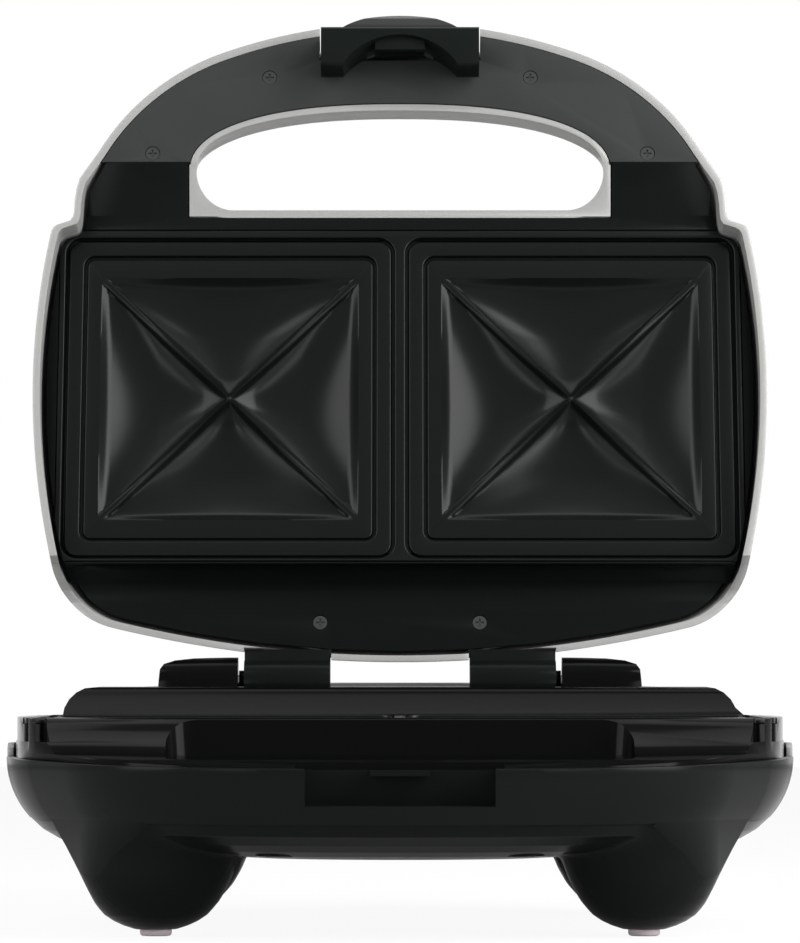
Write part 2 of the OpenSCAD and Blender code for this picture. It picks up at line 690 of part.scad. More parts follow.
// One ring of the dome: t runs from 0 at the rim to 1 at the crown
function dome_ring(t, in) =
    let (reach = cos(90 * t) ^ (2 / dome_power), rise = sin(90 * t) ^ (2 / dome_power))
    [for (p = lid_plan)
        let (y = dome_mid_y + (p[1] - dome_mid_y) * (1 - in / 120) * reach)
        [p[0] * (1 - in / 125) * reach, y, lid_rim_z + (dome_height(y) - in) * rise]];
outer_steps = [0.985, 0.965, 0.94, 0.91, 0.875, 0.835, 0.79, 0.74, 0.68, 0.6, 0.5, 0.38, 0.25, 0.13, 0.04, 0];
module dome_shell() {
    rings = concat(
        [for (t = outer_steps) dome_ring(t, 0)],
        [for (t = [0, 0.12, 0.19, 0.34, 0.58, 0.8, 0.94]) dome_ring(t, wall)]
    );
    top = lid_rim_z + rim_drop + crown_h;
    skin(rings, [0, dome_mid_y, top], [0, dome_mid_y, top - wall]);
}
module dome_solid() {
    rings = [for (t = outer_steps) dome_ring(t, 0.4)];
    top = lid_rim_z + rim_drop + crown_h - 0.4;
    skin(rings, [0, dome_mid_y, top], [0, dome_mid_y, lid_rim_z]);
}
// Tapered post that hangs from the inside of the lid's shell
module post(place, z0, r) {
    hull() {
        translate([place[0], place[1], z0]) cylinder(r = r, h = 0.6, $fn = 16);
        translate([place[0], place[1], 110]) cylinder(r = r + 1.4, h = 1, $fn = 16);
    }
}
// Space below the sloped roots of the handle
module below_ramp() {
    across([[100, 40], [ramp_y1 + 4, 40], [ramp_y1 + 2, lid_rim_z - 0.7], [ramp_y0, upper_face_z],
        [100, upper_face_z]], -90, 90);
}
lens_post_places = [[-27, 126], [27, 126]];
holder_z = 92.4;
holder_t = 2.6;
module lid_cover() {
    color(silver) difference() {
        union() {
            dome_shell();
            intersection() {
                union() {
                    // Wall round the finger hole
                    difference() {
                        union() {
                            hole_body(collar_t, lid_rim_z);
                            translate([-collar_half_w - 0.15, collar_y0, lid_rim_z]) cube([2 * collar_half_w + 0.3, 16.3, 40.3]);
                        }
                        below_ramp();
                    }
                    for (place = handle_screw_places) post(place, panel_z + panel_t, 3.2);
                    for (place = lid_screw_places) post(place, back_panel_z + panel_t, 3.2);
                    for (place = lens_post_places) post(place, holder_z + holder_t, 2.4);
                    // Posts that steady the frame
                    for (x = [-100, 100]) post([x, 160.5], upper_face_z + plate_seat + panel_t, 2.4);
                }
                dome_solid();
            }
        }
        hole_body(0, 40);
        // Rim cut away over the hump of the base
        across([[40, 40], [40, lid_rim_z - over], [39.2, lid_rim_z + 0.2], [38.6, 66.8], [31.8, 74.6],
            [28, plate_z + 10], [-20, plate_z + 10], [-20, 40]], -half_w - over, half_w + over);
        both_sides() translate([arm_x0 - run_gap, -20, 60]) cube([arm_x1 - arm_x0 + 2 * run_gap, 32.3, 25]);
        translate([-slot_half_w, slot_y, 40]) cube([2 * slot_half_w, 30, 60]);
        for (place = handle_screw_places) translate([place[0], place[1], 55]) cylinder(r = 1.4, h = 13, $fn = 16);
        for (place = lid_screw_places) translate([place[0], place[1], 70]) cylinder(r = 1.4, h = 17, $fn = 16);
        for (place = lens_places) translate([place[0], place[1], 80]) cylinder(r = lens_r + 0.2, h = 40, $fn = 24);
    }
}
lid_gap = wall + 0.4;
// Room inside the shell, which narrows upwards: levels as (height of the top, inset at the sides, inset at the ends)
room_levels = [[75.6, 4.2, 4.1], [80.5, 6.2, 6]];
module lid_room() {
    for (l = room_levels) prism(inset(lid_plan, dome_mid_y, l[1], l[2]), 50, l[0]);
}
module lid_frame() {
    lip = plate_seat + panel_t;
    cove_r = back_panel_z - upper_face_z;
    cove = concat(
        [[9, back_panel_z]],
        [for (a = [90:-15:0]) [cove_y + cove_r * cos(a), upper_face_z + cove_r * sin(a)]],
        [[43, upper_face_z], [43, upper_face_z + lip]],
        [for (a = [15:15:90]) [cove_y + (cove_r + panel_t) * cos(a), upper_face_z + (cove_r + panel_t) * sin(a)]],
        [[9, back_panel_z + panel_t]]
    );
    ramp = [[ramp_y0 - 8, upper_face_z], [ramp_y0, upper_face_z], [ramp_y1 - 1.2, panel_z + 0.8], [ramp_y1, panel_z],
        [ramp_y1, panel_z + panel_t], [ramp_y0 + 0.4, upper_face_z + panel_t], [ramp_y0 - 8, upper_face_z + panel_t]];
    color(gloss_black) difference() {
        union() {
            intersection() {
                lid_room();
                translate([0, 0, upper_face_z]) linear_extrude(lip) square(2 * arch_tip_y, center = true);
                translate([-half_w, platform_back_y + 0.6, 0]) cube([body_w, 163.4 - platform_back_y, 120]);
            }
            intersection() {
                lid_room();
                union() {
                    across(cove, -half_w, half_w);
                    across(ramp, -half_w, half_w);
                }
            }
            // Walls round the hollow, which stiffen the frame and carry the lugs
            both_sides() translate([plate_half_w - hollow_margin, 54, upper_face_z + over])
                cube([2, 92, post_len + lug_t - over]);
            for (place = post_places) translate([place[0], place[1], 0])
                lug(upper_face_z + post_len, upper_face_z + post_len + lug_t);
            both_sides() lid_arm();
        }
        collar_prism(2 * run_gap, 40, 120);
        translate([-plate_half_w - run_gap, plate_y0 - run_gap, upper_face_z - over])
            cube([2 * (plate_half_w + run_gap), plate_y1 - plate_y0 + 2 * run_gap, plate_seat + over]);
        difference() {
            plate_hollow(upper_face_z - over, 120);
            for (place = post_places) translate([place[0], place[1], 0])
                lug(upper_face_z + post_len, upper_face_z + post_len + lug_t);
        }
        for (place = post_places) translate([place[0], place[1], upper_face_z]) cylinder(r = 2.2, h = 20);
        for (place = lid_screw_places) translate([place[0], place[1], 70]) {
            cylinder(r = 1.8, h = 20);
            cylinder(r = 2.6, h = back_panel_z + 1.2 - 70);
        }
        both_sides() translate([arm_bore_x, 0, hinge_z]) rotate([0, 90, 0]) cylinder(d = hinge_pin_d + 0.1, h = 20, $fn = 64);
    }
}
// Arm with its knuckle and the boss that keeps it off the block
module lid_arm() {
    across([[-1.5, hinge_z + knuckle_r], [7, 83.9], [10, 82.6], [12, 80], [12, back_panel_z], [4, back_panel_z],
        [0, hinge_z]], arm_x0, arm_x1);
    translate([arm_x0, 0, hinge_z]) rotate([0, 90, 0]) cylinder(r = knuckle_r, h = arm_x1 - arm_x0, $fn = 64);
    translate([arm_x1 - 0.01, 0, hinge_z]) rotate([0, 90, 0]) cylinder(r = 4.1, h = block_x0 - arm_x1 - 0.3, $fn = 64);
}
latch_axle_y = 225;
latch_axle_z = plate_z - 2;
ear_r = 3;
ear_x0 = 28.2;
ear_x1 = 31;
module handle_panel() {
    inner = inset(lid_plan, dome_mid_y, lid_gap, lid_gap);
    color([0.25, 0.26, 0.255]) difference() {
        union() {
            difference() {
                prism(inner, panel_z, panel_z + panel_t);
                translate([-half_w, -10, 0]) cube([body_w, ramp_y1 + 10.1, 120]);
            }
            // Ears that hold the latch's axle
            both_sides() {
                translate([ear_x0, latch_axle_y - ear_r, panel_z + 0.1])
                    cube([ear_x1 - ear_x0, 2 * ear_r, latch_axle_z - panel_z]);
                translate([ear_x0, latch_axle_y, latch_axle_z]) rotate([0, 90, 0]) cylinder(r = ear_r, h = ear_x1 - ear_x0);
            }
        }
        collar_prism(run_gap, 40, 120);
        translate([-slot_half_w, slot_y, 40]) cube([2 * slot_half_w, 30, 60]);
        for (place = handle_screw_places) translate([place[0], place[1], 50]) {
            cylinder(r = 1.8, h = 20);
            cylinder(r = 2.6, h = panel_z + 1.2 - 50);
        }
        both_sides() translate([ear_x0 - over, latch_axle_y, latch_axle_z]) rotate([0, 90, 0])
            cylinder(d = latch_pin_d, h = 8);
    }
}
module handle_screws() {
    color("dimgray") for (place = handle_screw_places) translate([place[0], place[1], panel_z + 1.2]) screw(1.48, 7, 2.4, 0.9);
}
module lid_screws() {
    color("dimgray") for (place = lid_screw_places) translate([place[0], place[1], back_panel_z + 1.2]) screw(1.48, 7, 2.4, 0.9);
}
module lens(place, shade) {
    color(shade) translate([place[0], place[1], 0]) {
        translate([0, 0, holder_z + holder_t]) cylinder(r = lens_r, h = plate_z + crown_h - holder_z - holder_t);
        translate([0, 0, plate_z + crown_h]) cylinder(r1 = lens_r, r2 = lens_r - 1, h = 0.8);
    }
}
module lamp_holder() {
    color("ivory") translate([-31, 120, holder_z]) cube([62, 12, holder_t]);
}

// ---------- Latch ----------
latch_foot_z = plate_z - 23;
leg_inner_y = 213.4;
lip_y = 219.4;
lip_z = 48;
arch_cut_r = 23.4;
latch_tip_y = 241.8;
// Radius of the thumb edge, seen from above
thumb_r = 60;
module latch() {
    side = [[leg_inner_y, latch_foot_z], [226, latch_foot_z], [229.6, 46.2], [233, 51], [236.4, 57], [240, 63],
        [latch_tip_y, 67.4], [latch_tip_y - 0.8, 71.8], [238, 75.4], [233.6, 76.8], [228, 76.6], [224.6, 74.6], [222.8, 71],
        [222.4, 66], [222.4, 58.4], [leg_inner_y, 56.2]];
    side_turn = asin(latch_w / 2 / thumb_r);
    plan = concat([[-latch_w / 2, 200], [latch_w / 2, 200]],
        arc([0, latch_tip_y - thumb_r], thumb_r, 90 - side_turn, 90 + side_turn, 12),
        [[-latch_w / 2, latch_tip_y - thumb_r * (1 - cos(side_turn))]]);
    color(black) difference() {
        union() {
            difference() {
                intersection() {
                    across(side, -latch_w / 2, latch_w / 2);
                    prism(plan, 30, 90);
                }
                translate([0, 224 - arch_cut_r, 30]) cylinder(r = arch_cut_r, h = 58.4 - 30, $fn = 72);
            }
            // Lip that hooks under the catch
            across([[lip_y, lip_z - 2], [lip_y, lip_z], [226, lip_z + 1], [226, lip_z - 2]], -8.6, 8.6);
        }
        translate([-40, latch_axle_y, latch_axle_z]) rotate([0, 90, 0]) cylinder(d = latch_pin_d + 0.1, h = 80, $fn = 64);
    }
}
module latch_pin() {
    color(steel) translate([-ear_x1, latch_axle_y, latch_axle_z]) rotate([0, 90, 0])
        cylinder(d = latch_pin_d, h = 2 * ear_x1, $fn = 64);
}
// Leaf spring behind the latch
module latch_spring() {
    z = panel_z + panel_t;
    color(steel) across([[206, z], [216, z], [220.6, z + 5.4], [220.1, z + 5.7], [215.7, z + 0.5], [206, z + 0.5]], -6, 6);
}

on_toaster() base_cover();
on_toaster() base_trim();
on_toaster() base_frame();
on_toaster() lower_plate();
on_toaster() lower_element();
on_toaster() lower_reflector();
on_toaster() thermostat();
on_toaster() thermal_fuse();
on_toaster() terminal_block();
on_toaster() cord_gland();
on_toaster() lower_plate_screws();
on_toaster() base_screws();
on_toaster() foot(leg_places[0]);  // foot_front_left
on_toaster() foot(leg_places[1]);  // foot_front_right
on_toaster() foot(leg_places[2]);  // foot_rear_left
on_toaster() foot(leg_places[3]);  // foot_rear_right
on_toaster() hinge_pin();  // hinge_pin_left
on_toaster() mirror([1, 0, 0]) hinge_pin();  // hinge_pin_right
on_lid() lid_cover();
on_lid() lid_frame();
on_lid() handle_panel();
on_lid() upper_plate();
on_lid() upper_element();
on_lid() upper_reflector();
on_lid() upper_plate_screws();
on_lid() handle_screws();
on_lid() lid_screws();
on_lid() lens(lens_places[0], "crimson");  // power_lens
on_lid() lens(lens_places[1], "limegreen");  // ready_lens
on_lid() lamp_holder();
on_lid() latch_pin();
on_lid() latch_spring();
on_lid() latch();
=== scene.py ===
"""Looks of the sandwich toaster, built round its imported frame.

Pieces are modelled shut and in millimetres, in the maker's own frame: X runs across, Y runs from the hinge
line towards the handle, Z runs up from the counter. Each is then turned into the row frame, in metres,
and the lid's pieces are swung open about the hinge.
"""
import math

import bpy
import numpy as np
from mathutils import Matrix, Vector


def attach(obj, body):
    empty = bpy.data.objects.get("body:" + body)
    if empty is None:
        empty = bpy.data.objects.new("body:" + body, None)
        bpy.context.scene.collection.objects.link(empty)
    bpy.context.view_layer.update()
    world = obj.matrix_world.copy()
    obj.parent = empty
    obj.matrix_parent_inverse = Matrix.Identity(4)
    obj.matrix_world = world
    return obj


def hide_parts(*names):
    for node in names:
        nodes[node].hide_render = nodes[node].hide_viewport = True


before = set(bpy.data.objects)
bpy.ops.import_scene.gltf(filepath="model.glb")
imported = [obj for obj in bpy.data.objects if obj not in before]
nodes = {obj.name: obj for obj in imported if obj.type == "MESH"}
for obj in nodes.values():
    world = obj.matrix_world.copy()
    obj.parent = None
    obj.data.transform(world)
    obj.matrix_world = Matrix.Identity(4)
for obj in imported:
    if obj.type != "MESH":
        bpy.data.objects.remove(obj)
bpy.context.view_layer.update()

# ---------------------------------------------------------------- sizes, in millimetres
HALF_W = 125.0
TIP_Y = 235.5
PLATE_Z = 66.6
HINGE_RISE = 10.5
HINGE_Z = PLATE_Z + HINGE_RISE
HINGE_BACK = 81.6
LID_OPEN = 108.0
WALL = 2.4
RIM_Z = 54.1
RIM_FALL = 2.2
BULGE_R = 28.0
BELLY_Z = 22.0
LEG_X = 74.8
LEG_FRONT_Y = 176.0
LEG_REAR_Y = 22.0
CROWN_H = 33.0
HANDLE_TOP_H = 12.0
RIM_DROP = 7.0
LID_RIM_Z = PLATE_Z - RIM_DROP
PANEL_Z = PLATE_Z - 7.4
PANEL_T = 2.4
HOLE_HALF_W = 70.2
COLLAR_T = 2.3
PLATES_APART = 0.6
PLAN_HALF_D = 115.0
MM = 0.001

# ---------------------------------------------------------------- hand tools


def deselect():
    if bpy.context.object and bpy.context.object.mode != "OBJECT":
        bpy.ops.object.mode_set(mode="OBJECT")
    bpy.ops.object.select_all(action="DESELECT")


def pick(piece):
    deselect()
    piece.select_set(True)
    bpy.context.view_layer.objects.active = piece
    return piece


def named(name):
    piece = bpy.context.object
    piece.name = name
    piece.data.name = name
    return piece


def apply_modifiers(piece):
    pick(piece)
    for modifier in list(piece.modifiers):
        bpy.ops.object.modifier_apply(modifier=modifier.name)
    return piece


def recalculate(piece):
    pick(piece)
    bpy.ops.object.mode_set(mode="EDIT")
    bpy.ops.mesh.select_all(action="SELECT")
    bpy.ops.mesh.remove_doubles(threshold=0.0005)
    bpy.ops.mesh.normals_make_consistent(inside=False)
    bpy.ops.object.mode_set(mode="OBJECT")
    return piece


def bevel(piece, width, segments=2, angle=35):
    """Rounds the sharp edges."""
    modifier = piece.modifiers.new("bevel", "BEVEL")
    modifier.width = width
    modifier.segments = segments
    modifier.limit_method = "ANGLE"
    modifier.angle_limit = math.radians(angle)
    modifier.miter_outer = "MITER_ARC"
    modifier.use_clamp_overlap = True
    return apply_modifiers(piece)


def smooth(piece, angle=35):
    pick(piece)
    bpy.ops.object.shade_smooth_by_angle(angle=math.radians(angle))
    return piece


def combine(piece, tool, operation):
    modifier = piece.modifiers.new("boolean", "BOOLEAN")
    modifier.operation = operation
    modifier.solver = "EXACT"
    modifier.object = tool
    apply_modifiers(piece)
    bpy.data.objects.remove(tool)
    return piece


def cut(piece, *tools):
    for tool in tools:
        combine(piece, tool, "DIFFERENCE")
    return piece


def add(piece, *tools):
    for tool in tools:
        combine(piece, tool, "UNION")
    return piece


def block(name, low, high, rounding=0.0):
    """A box from its lowest to its highest corner, with its edges rounded if asked."""
    deselect()
    centre = [(a + b) / 2 for a, b in zip(low, high)]
    bpy.ops.mesh.primitive_cube_add(size=1, location=centre)
    piece = named(name)
    piece.scale = [b - a for a, b in zip(low, high)]
    bpy.ops.object.transform_apply(location=True, rotation=True, scale=True)
    if rounding:
        bevel(piece, rounding, 3)
    return piece


def rod(name, start, end, radius, sides=48):
    """A cylinder from one point to another."""
    deselect()
    start, end = Vector(start), Vector(end)
    run = end - start
    turn = Vector((0, 0, 1)).rotation_difference(run).to_euler()
    bpy.ops.mesh.primitive_cylinder_add(
        vertices=sides, radius=radius, depth=run.length, location=(start + end) / 2, rotation=turn)
    piece = named(name)
    bpy.ops.object.transform_apply(location=True, rotation=True, scale=True)
    return piece


def slab(name, outline, low, high):
    """A flat piece: an outline (x, y), filled and then extruded from one height to another."""
    deselect()
    bpy.ops.mesh.primitive_circle_add(vertices=len(outline), radius=1, fill_type="NGON")
    piece = named(name)
    for vertex, point in zip(piece.data.vertices, outline):
        vertex.co = (point[0], point[1], low)
    bpy.ops.object.mode_set(mode="EDIT")
    bpy.ops.mesh.select_all(action="SELECT")
    bpy.ops.mesh.extrude_region_move(TRANSFORM_OT_translate={"value": (0, 0, high - low)})
    bpy.ops.object.mode_set(mode="OBJECT")
    return recalculate(piece)


def across(name, profile, x0, x1):
    """A side profile of (y, z) points, extruded across the toaster."""
    piece = slab(name, profile, x0, x1)
    piece.data.transform(Matrix(((0, 0, 1, 0), (1, 0, 0, 0), (0, 1, 0, 0), (0, 0, 0, 1))))
    return recalculate(piece)


def loft(name, rings):
    """A closed skin through rings of equally many points. The first and last rings are closed with a face."""
    around, levels = len(rings[0]), len(rings)
    deselect()
    bpy.ops.mesh.primitive_grid_add(x_subdivisions=around, y_subdivisions=levels - 1, size=1)
    piece = named(name)
    mesh = piece.data
    flat = np.empty(len(mesh.vertices) * 3)
    mesh.vertices.foreach_get("co", flat)
    flat = flat.reshape(-1, 3)
    column = np.rint((flat[:, 0] + 0.5) * around).astype(int) % around
    row = np.rint((flat[:, 1] + 0.5) * (levels - 1)).astype(int)
    places = np.array(rings, float)[row, column]
    mesh.vertices.foreach_set("co", places.ravel())
    mesh.update()
    recalculate(piece)
    bpy.ops.object.mode_set(mode="EDIT")
    bpy.ops.mesh.select_mode(type="EDGE")
    bpy.ops.mesh.select_all(action="DESELECT")
    bpy.ops.mesh.select_non_manifold(extend=False)
    bpy.ops.mesh.fill_holes(sides=0)
    bpy.ops.mesh.select_mode(type="FACE")
    bpy.ops.object.mode_set(mode="OBJECT")
    return recalculate(piece)


# ---------------------------------------------------------------- outlines


def arc(centre, radius, start, end, count):
    angles = np.radians(np.linspace(start, end, count, endpoint=False))
    return [(centre[0] + radius * math.cos(a), centre[1] + radius * math.sin(a)) for a in angles]


def nested_centre(c1, r1, c2, r2, radius):
    """Centre of a circle that lies inside two circles and touches both."""
    c1, c2 = np.array(c1, float), np.array(c2, float)
    run = c2 - c1
    dist = np.linalg.norm(run)
    along = ((r1 - radius) ** 2 - (r2 - radius) ** 2 + dist ** 2) / (2 * dist)
    off = math.sqrt((r1 - radius) ** 2 - along ** 2)
    direction = run / dist
    return c1 + direction * along + off * np.array((direction[1], -direction[0]))


def angle_of(vector):
    return math.degrees(math.atan2(vector[1], vector[0]))


def mirrored(right, tip_y):
    """Closed outline from its right half, which starts on the middle line."""
    return list(right) + [(0.0, tip_y)] + [(-x, y) for x, y in reversed(right[1:])]


SIDE_R = 290.0
SIDE_C = np.array((HALF_W - SIDE_R, 103.0))
BACK_R = 400.0
TIP_R = 172.0
TIP_C = np.array((0.0, TIP_Y - TIP_R))
ARCH_R = 81.6
TIP_END = 69.1
ARCH_START = 28.8


def polar(radius, angle):
    return radius * np.array((math.cos(math.radians(angle)), math.sin(math.radians(angle))))


def back_and_side(back_y, corner_r, side_end):
    """Right half of an outline: along the back, round the corner and up the side to an angle."""
    back_c = np.array((0.0, back_y + BACK_R))
    corner_c = nested_centre(SIDE_C, SIDE_R, back_c, BACK_R, corner_r)
    back_end = angle_of(corner_c - back_c)
    side_start = angle_of(corner_c - SIDE_C)
    return (arc(back_c, BACK_R, -90, back_end, 24) + arc(corner_c, corner_r, back_end, side_start, 20)
            + arc(SIDE_C, SIDE_R, side_start, side_end, 30))


ARCH_C = TIP_C + polar(TIP_R - ARCH_R, TIP_END)
ARCH = arc(ARCH_C, ARCH_R, ARCH_START, TIP_END, 26) + arc(TIP_C, TIP_R, TIP_END, 90, 20)

BASE_BACK_Y = -20.0
BASE_BACK_R = 42.0
SHOULDER_R = 75.0
SHOULDER_START = 8.9
SHOULDER_C = SIDE_C + polar(SIDE_R - SHOULDER_R, SHOULDER_START)
BASE_PLAN = mirrored(
    back_and_side(BASE_BACK_Y, BASE_BACK_R, SHOULDER_START)
    + arc(SHOULDER_C, SHOULDER_R, SHOULDER_START, ARCH_START, 14) + ARCH,
    TIP_Y)

LID_BACK_Y = 6.5
LID_BACK_R = 26.4
LID_SIDE_END = 10.7
LID_CORNER_R = 4.0
LID_CORNER_C = SIDE_C + polar(SIDE_R - LID_CORNER_R, LID_SIDE_END)
LID_SHOULDER = [(113.4, 161.2), (112.5, 162.7), (112.15, 164.6), (112.0, 168.6), (111.5, 173), (110.4, 177.0)]
LID_PLAN = mirrored(
    back_and_side(LID_BACK_Y, LID_BACK_R, LID_SIDE_END)
    + arc(LID_CORNER_C, LID_CORNER_R, LID_SIDE_END, 75, 6) + LID_SHOULDER + ARCH,
    TIP_Y)


def inset(plan, middle_y, in_x, in_y):
    """An outline shrunk about its middle, by in_x at the sides and about in_y at the ends."""
    share_x, share_y = 1 - in_x / HALF_W, 1 - in_y / PLAN_HALF_D
    return [(x * share_x, middle_y + (y - middle_y) * share_y) for x, y in plan]


# Finger hole of the handle: level below, a flattened arch above
HOLE_Y0 = 168.2
HOLE_Y1 = 202.4
HOLE_WAIST_Y = 180.0
HOLE_MID_Y = (HOLE_Y0 + HOLE_Y1) / 2
HOLE_POWER = 2.35
HOLE_CORNER_W = 13


def hole_outline():
    corner = [(HOLE_HALF_W - HOLE_CORNER_W * (1 - math.cos(a)),
               HOLE_WAIST_Y + (HOLE_WAIST_Y - HOLE_Y0) * math.sin(a))
              for a in np.radians(np.arange(-90, 0, 5))]
    crown = [(HOLE_HALF_W * math.cos(a) ** (2 / HOLE_POWER),
              HOLE_WAIST_Y + (HOLE_Y1 - HOLE_WAIST_Y) * math.sin(a) ** (2 / HOLE_POWER))
             for a in np.radians(np.arange(0, 90, 2.5))]
    foot = [(x, HOLE_Y0) for x in np.linspace(0, HOLE_HALF_W - HOLE_CORNER_W, 8)[:-1]]
    return mirrored(foot + corner + crown, HOLE_Y1)


HOLE_PLAN = hole_outline()


def grown(plan, by):
    """The finger hole's outline, grown or shrunk about its middle."""
    share_x = 1 + by / HOLE_HALF_W
    share_y = 1 + by / (HOLE_MID_Y - HOLE_Y0)
    return [(x * share_x, HOLE_MID_Y + (y - HOLE_MID_Y) * share_y) for x, y in plan]


# The hole widens towards the outside of the lid, as a quarter ellipse
FLARE_Z = PLATE_Z - 4.8
FLARE_H = 17.0
FLARE_W = 10.0
FLARE_SHARES = (0.12, 0.24, 0.36, 0.48, 0.6, 0.7, 0.8, 0.88, 0.95, 1)
ABOVE_LID_Z = 120


def flare(z):
    if z < FLARE_Z:
        return 0.0
    return FLARE_W * (1 - math.sqrt(1 - (min(z - FLARE_Z, FLARE_H) / FLARE_H) ** 2))


def hole_body(name, by, low):
    """What the flared hole takes up, grown by a margin, from a height up to above the lid."""
    levels = [low, FLARE_Z] + [FLARE_Z + FLARE_H * s for s in FLARE_SHARES] + [ABOVE_LID_Z]
    return loft(name, [[(x, y, z) for x, y in grown(HOLE_PLAN, by + flare(z))] for z in levels])


def collar_body(name, by, low, high):
    """What the collar of the finger hole takes up: its outline has square lower corners."""
    piece = slab(name, grown(HOLE_PLAN, COLLAR_T + by), low, high)
    half = HOLE_HALF_W + COLLAR_T + by
    foot = HOLE_Y0 - COLLAR_T - by
    return add(piece, block("collar_foot", (-half - 0.02, foot, low - 0.01),
                            (half + 0.02, foot + 16, high + 0.01)))


# ---------------------------------------------------------------- placing

TO_ROW = Matrix.Translation((0, HINGE_BACK * MM, 0)) @ Matrix.Rotation(math.pi, 4, "Z")
SWING = (Matrix.Translation((0, 0, HINGE_Z * MM)) @ Matrix.Rotation(math.radians(LID_OPEN), 4, "X")
         @ Matrix.Translation((0, 0, -HINGE_Z * MM)))


def seat(piece, body, finish, replaced=()):
    """Turns a finished piece into the row frame, gives it its finish and lets it ride on its body."""
    scale = Matrix.Scale(MM, 4)
    piece.data.transform((TO_ROW if body == "base" else TO_ROW @ SWING) @ scale)
    piece.data.materials.clear()
    piece.data.materials.append(finish)
    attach(piece, body)
    if replaced:
        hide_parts(*replaced)
    return piece


def dressed_copy(node, name, body, finish, width, angle):
    """A copy of a CAD node with its triangles merged and its sharp edges rounded a little."""
    source = nodes[node]
    piece = bpy.data.objects.new(name, source.data.copy())
    bpy.context.scene.collection.objects.link(piece)
    pick(piece)
    bpy.ops.object.mode_set(mode="EDIT")
    bpy.ops.mesh.select_all(action="SELECT")
    bpy.ops.mesh.remove_doubles(threshold=0.000005)
    bpy.ops.mesh.dissolve_limited(angle_limit=math.radians(0.6))
    bpy.ops.object.mode_set(mode="OBJECT")
    bevel(piece, width * MM, angle=angle)
    smooth(piece, angle)
    piece.data.materials.clear()
    piece.data.materials.append(finish)
    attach(piece, body)
    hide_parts(node)
    return piece


# ---------------------------------------------------------------- shared effects


def effect(name, inputs, outputs):
    """An empty node group with named inputs (name, value) and outputs, and its input and output nodes."""
    group = bpy.data.node_groups.new(name, "ShaderNodeTree")
    for label, value in inputs:
        socket = group.interface.new_socket(name=label, in_out="INPUT", socket_type="NodeSocketFloat")
        socket.default_value = value
    for label in outputs:
        group.interface.new_socket(name=label, in_out="OUTPUT", socket_type="NodeSocketFloat")
    start = group.nodes.new("NodeGroupInput")
    end = group.nodes.new("NodeGroupOutput")
    return group, start, end


def math_node(tree, operation, a, b=None, c=None):
    node = tree.nodes.new("ShaderNodeMath")
    node.operation = operation
    for socket, value in zip(node.inputs, (a, b, c)):
        if value is None:
            continue
        if isinstance(value, (int, float)):
            socket.default_value = value
        else:
            tree.links.new(value, socket)
    return node.outputs[0]


def noise(tree, scale, detail=2.0, roughness=0.5):
    """Noise on Object coordinates: scale is a number of waves in a metre, or a socket that gives it."""
    place = tree.nodes.new("ShaderNodeTexCoord")
    node = tree.nodes.new("ShaderNodeTexNoise")
    tree.links.new(place.outputs["Object"], node.inputs["Vector"])
    if isinstance(scale, (int, float)):
        node.inputs["Scale"].default_value = scale
    else:
        tree.links.new(scale, node.inputs["Scale"])
    node.inputs["Detail"].default_value = detail
    node.inputs["Roughness"].default_value = roughness
    return node.outputs["Fac"]


# Waves in a metre, and how far roughness and colour swing about their middle
GRAIN_WAVES = 2600.0
PATCH_WAVES = 24.0
FLAKE_WAVES = 900.0
TINT_WAVES = 35.0
ROUGHNESS_SPREAD = 0.06
TINT_SPREAD = 0.06
GRAIN_DEPTH = 0.0002


def grain_effect():
    """Fine grain of a moulded or coated surface, with slow patches of a duller and a brighter finish."""
    inputs = [("Grain", GRAIN_WAVES), ("Patch", PATCH_WAVES), ("Spread", ROUGHNESS_SPREAD), ("Base", 0.4)]
    group, start, end = effect("moulded_grain", inputs, ["Height", "Roughness"])
    fine = noise(group, start.outputs["Grain"], 3.0, 0.6)
    slow = noise(group, start.outputs["Patch"], 2.0, 0.5)
    around = math_node(group, "SUBTRACT", slow, 0.5)
    swing = math_node(group, "MULTIPLY_ADD", around, start.outputs["Spread"], start.outputs["Base"])
    group.links.new(fine, end.inputs["Height"])
    group.links.new(swing, end.inputs["Roughness"])
    return group


GRAIN = grain_effect()


def finish(name, colour, roughness, specular=0.3, grain=GRAIN_WAVES, bump=0.05, metallic=0.0,
           coat=0.0, coat_roughness=0.1, flake=0.0):
    """A Principled material: roughness and relief vary with the grain, colour in slow patches or fine flakes."""
    material = bpy.data.materials.new(name)
    material.use_nodes = True
    tree = material.node_tree
    shader = tree.nodes["Principled BSDF"]
    shader.inputs["Metallic"].default_value = metallic
    shader.inputs["Specular IOR Level"].default_value = specular
    shader.inputs["Coat Weight"].default_value = coat
    shader.inputs["Coat Roughness"].default_value = coat_roughness
    grained = tree.nodes.new("ShaderNodeGroup")
    grained.node_tree = GRAIN
    grained.inputs["Grain"].default_value = grain
    grained.inputs["Patch"].default_value = PATCH_WAVES
    grained.inputs["Spread"].default_value = ROUGHNESS_SPREAD
    grained.inputs["Base"].default_value = roughness
    tree.links.new(grained.outputs["Roughness"], shader.inputs["Roughness"])
    relief = tree.nodes.new("ShaderNodeBump")
    relief.inputs["Strength"].default_value = bump
    relief.inputs["Distance"].default_value = GRAIN_DEPTH
    tree.links.new(grained.outputs["Height"], relief.inputs["Height"])
    tree.links.new(relief.outputs["Normal"], shader.inputs["Normal"])
    mix = tree.nodes.new("ShaderNodeMix")
    mix.data_type = "RGBA"
    tree.links.new(noise(tree, FLAKE_WAVES if flake else TINT_WAVES, 3.0), mix.inputs["Factor"])
    swing = flake or TINT_SPREAD
    mix.inputs["A"].default_value = [c * (1 - swing) for c in colour] + [1]
    mix.inputs["B"].default_value = [c * (1 + swing) for c in colour] + [1]
    tree.links.new(mix.outputs["Result"], shader.inputs["Base Color"])
    return material


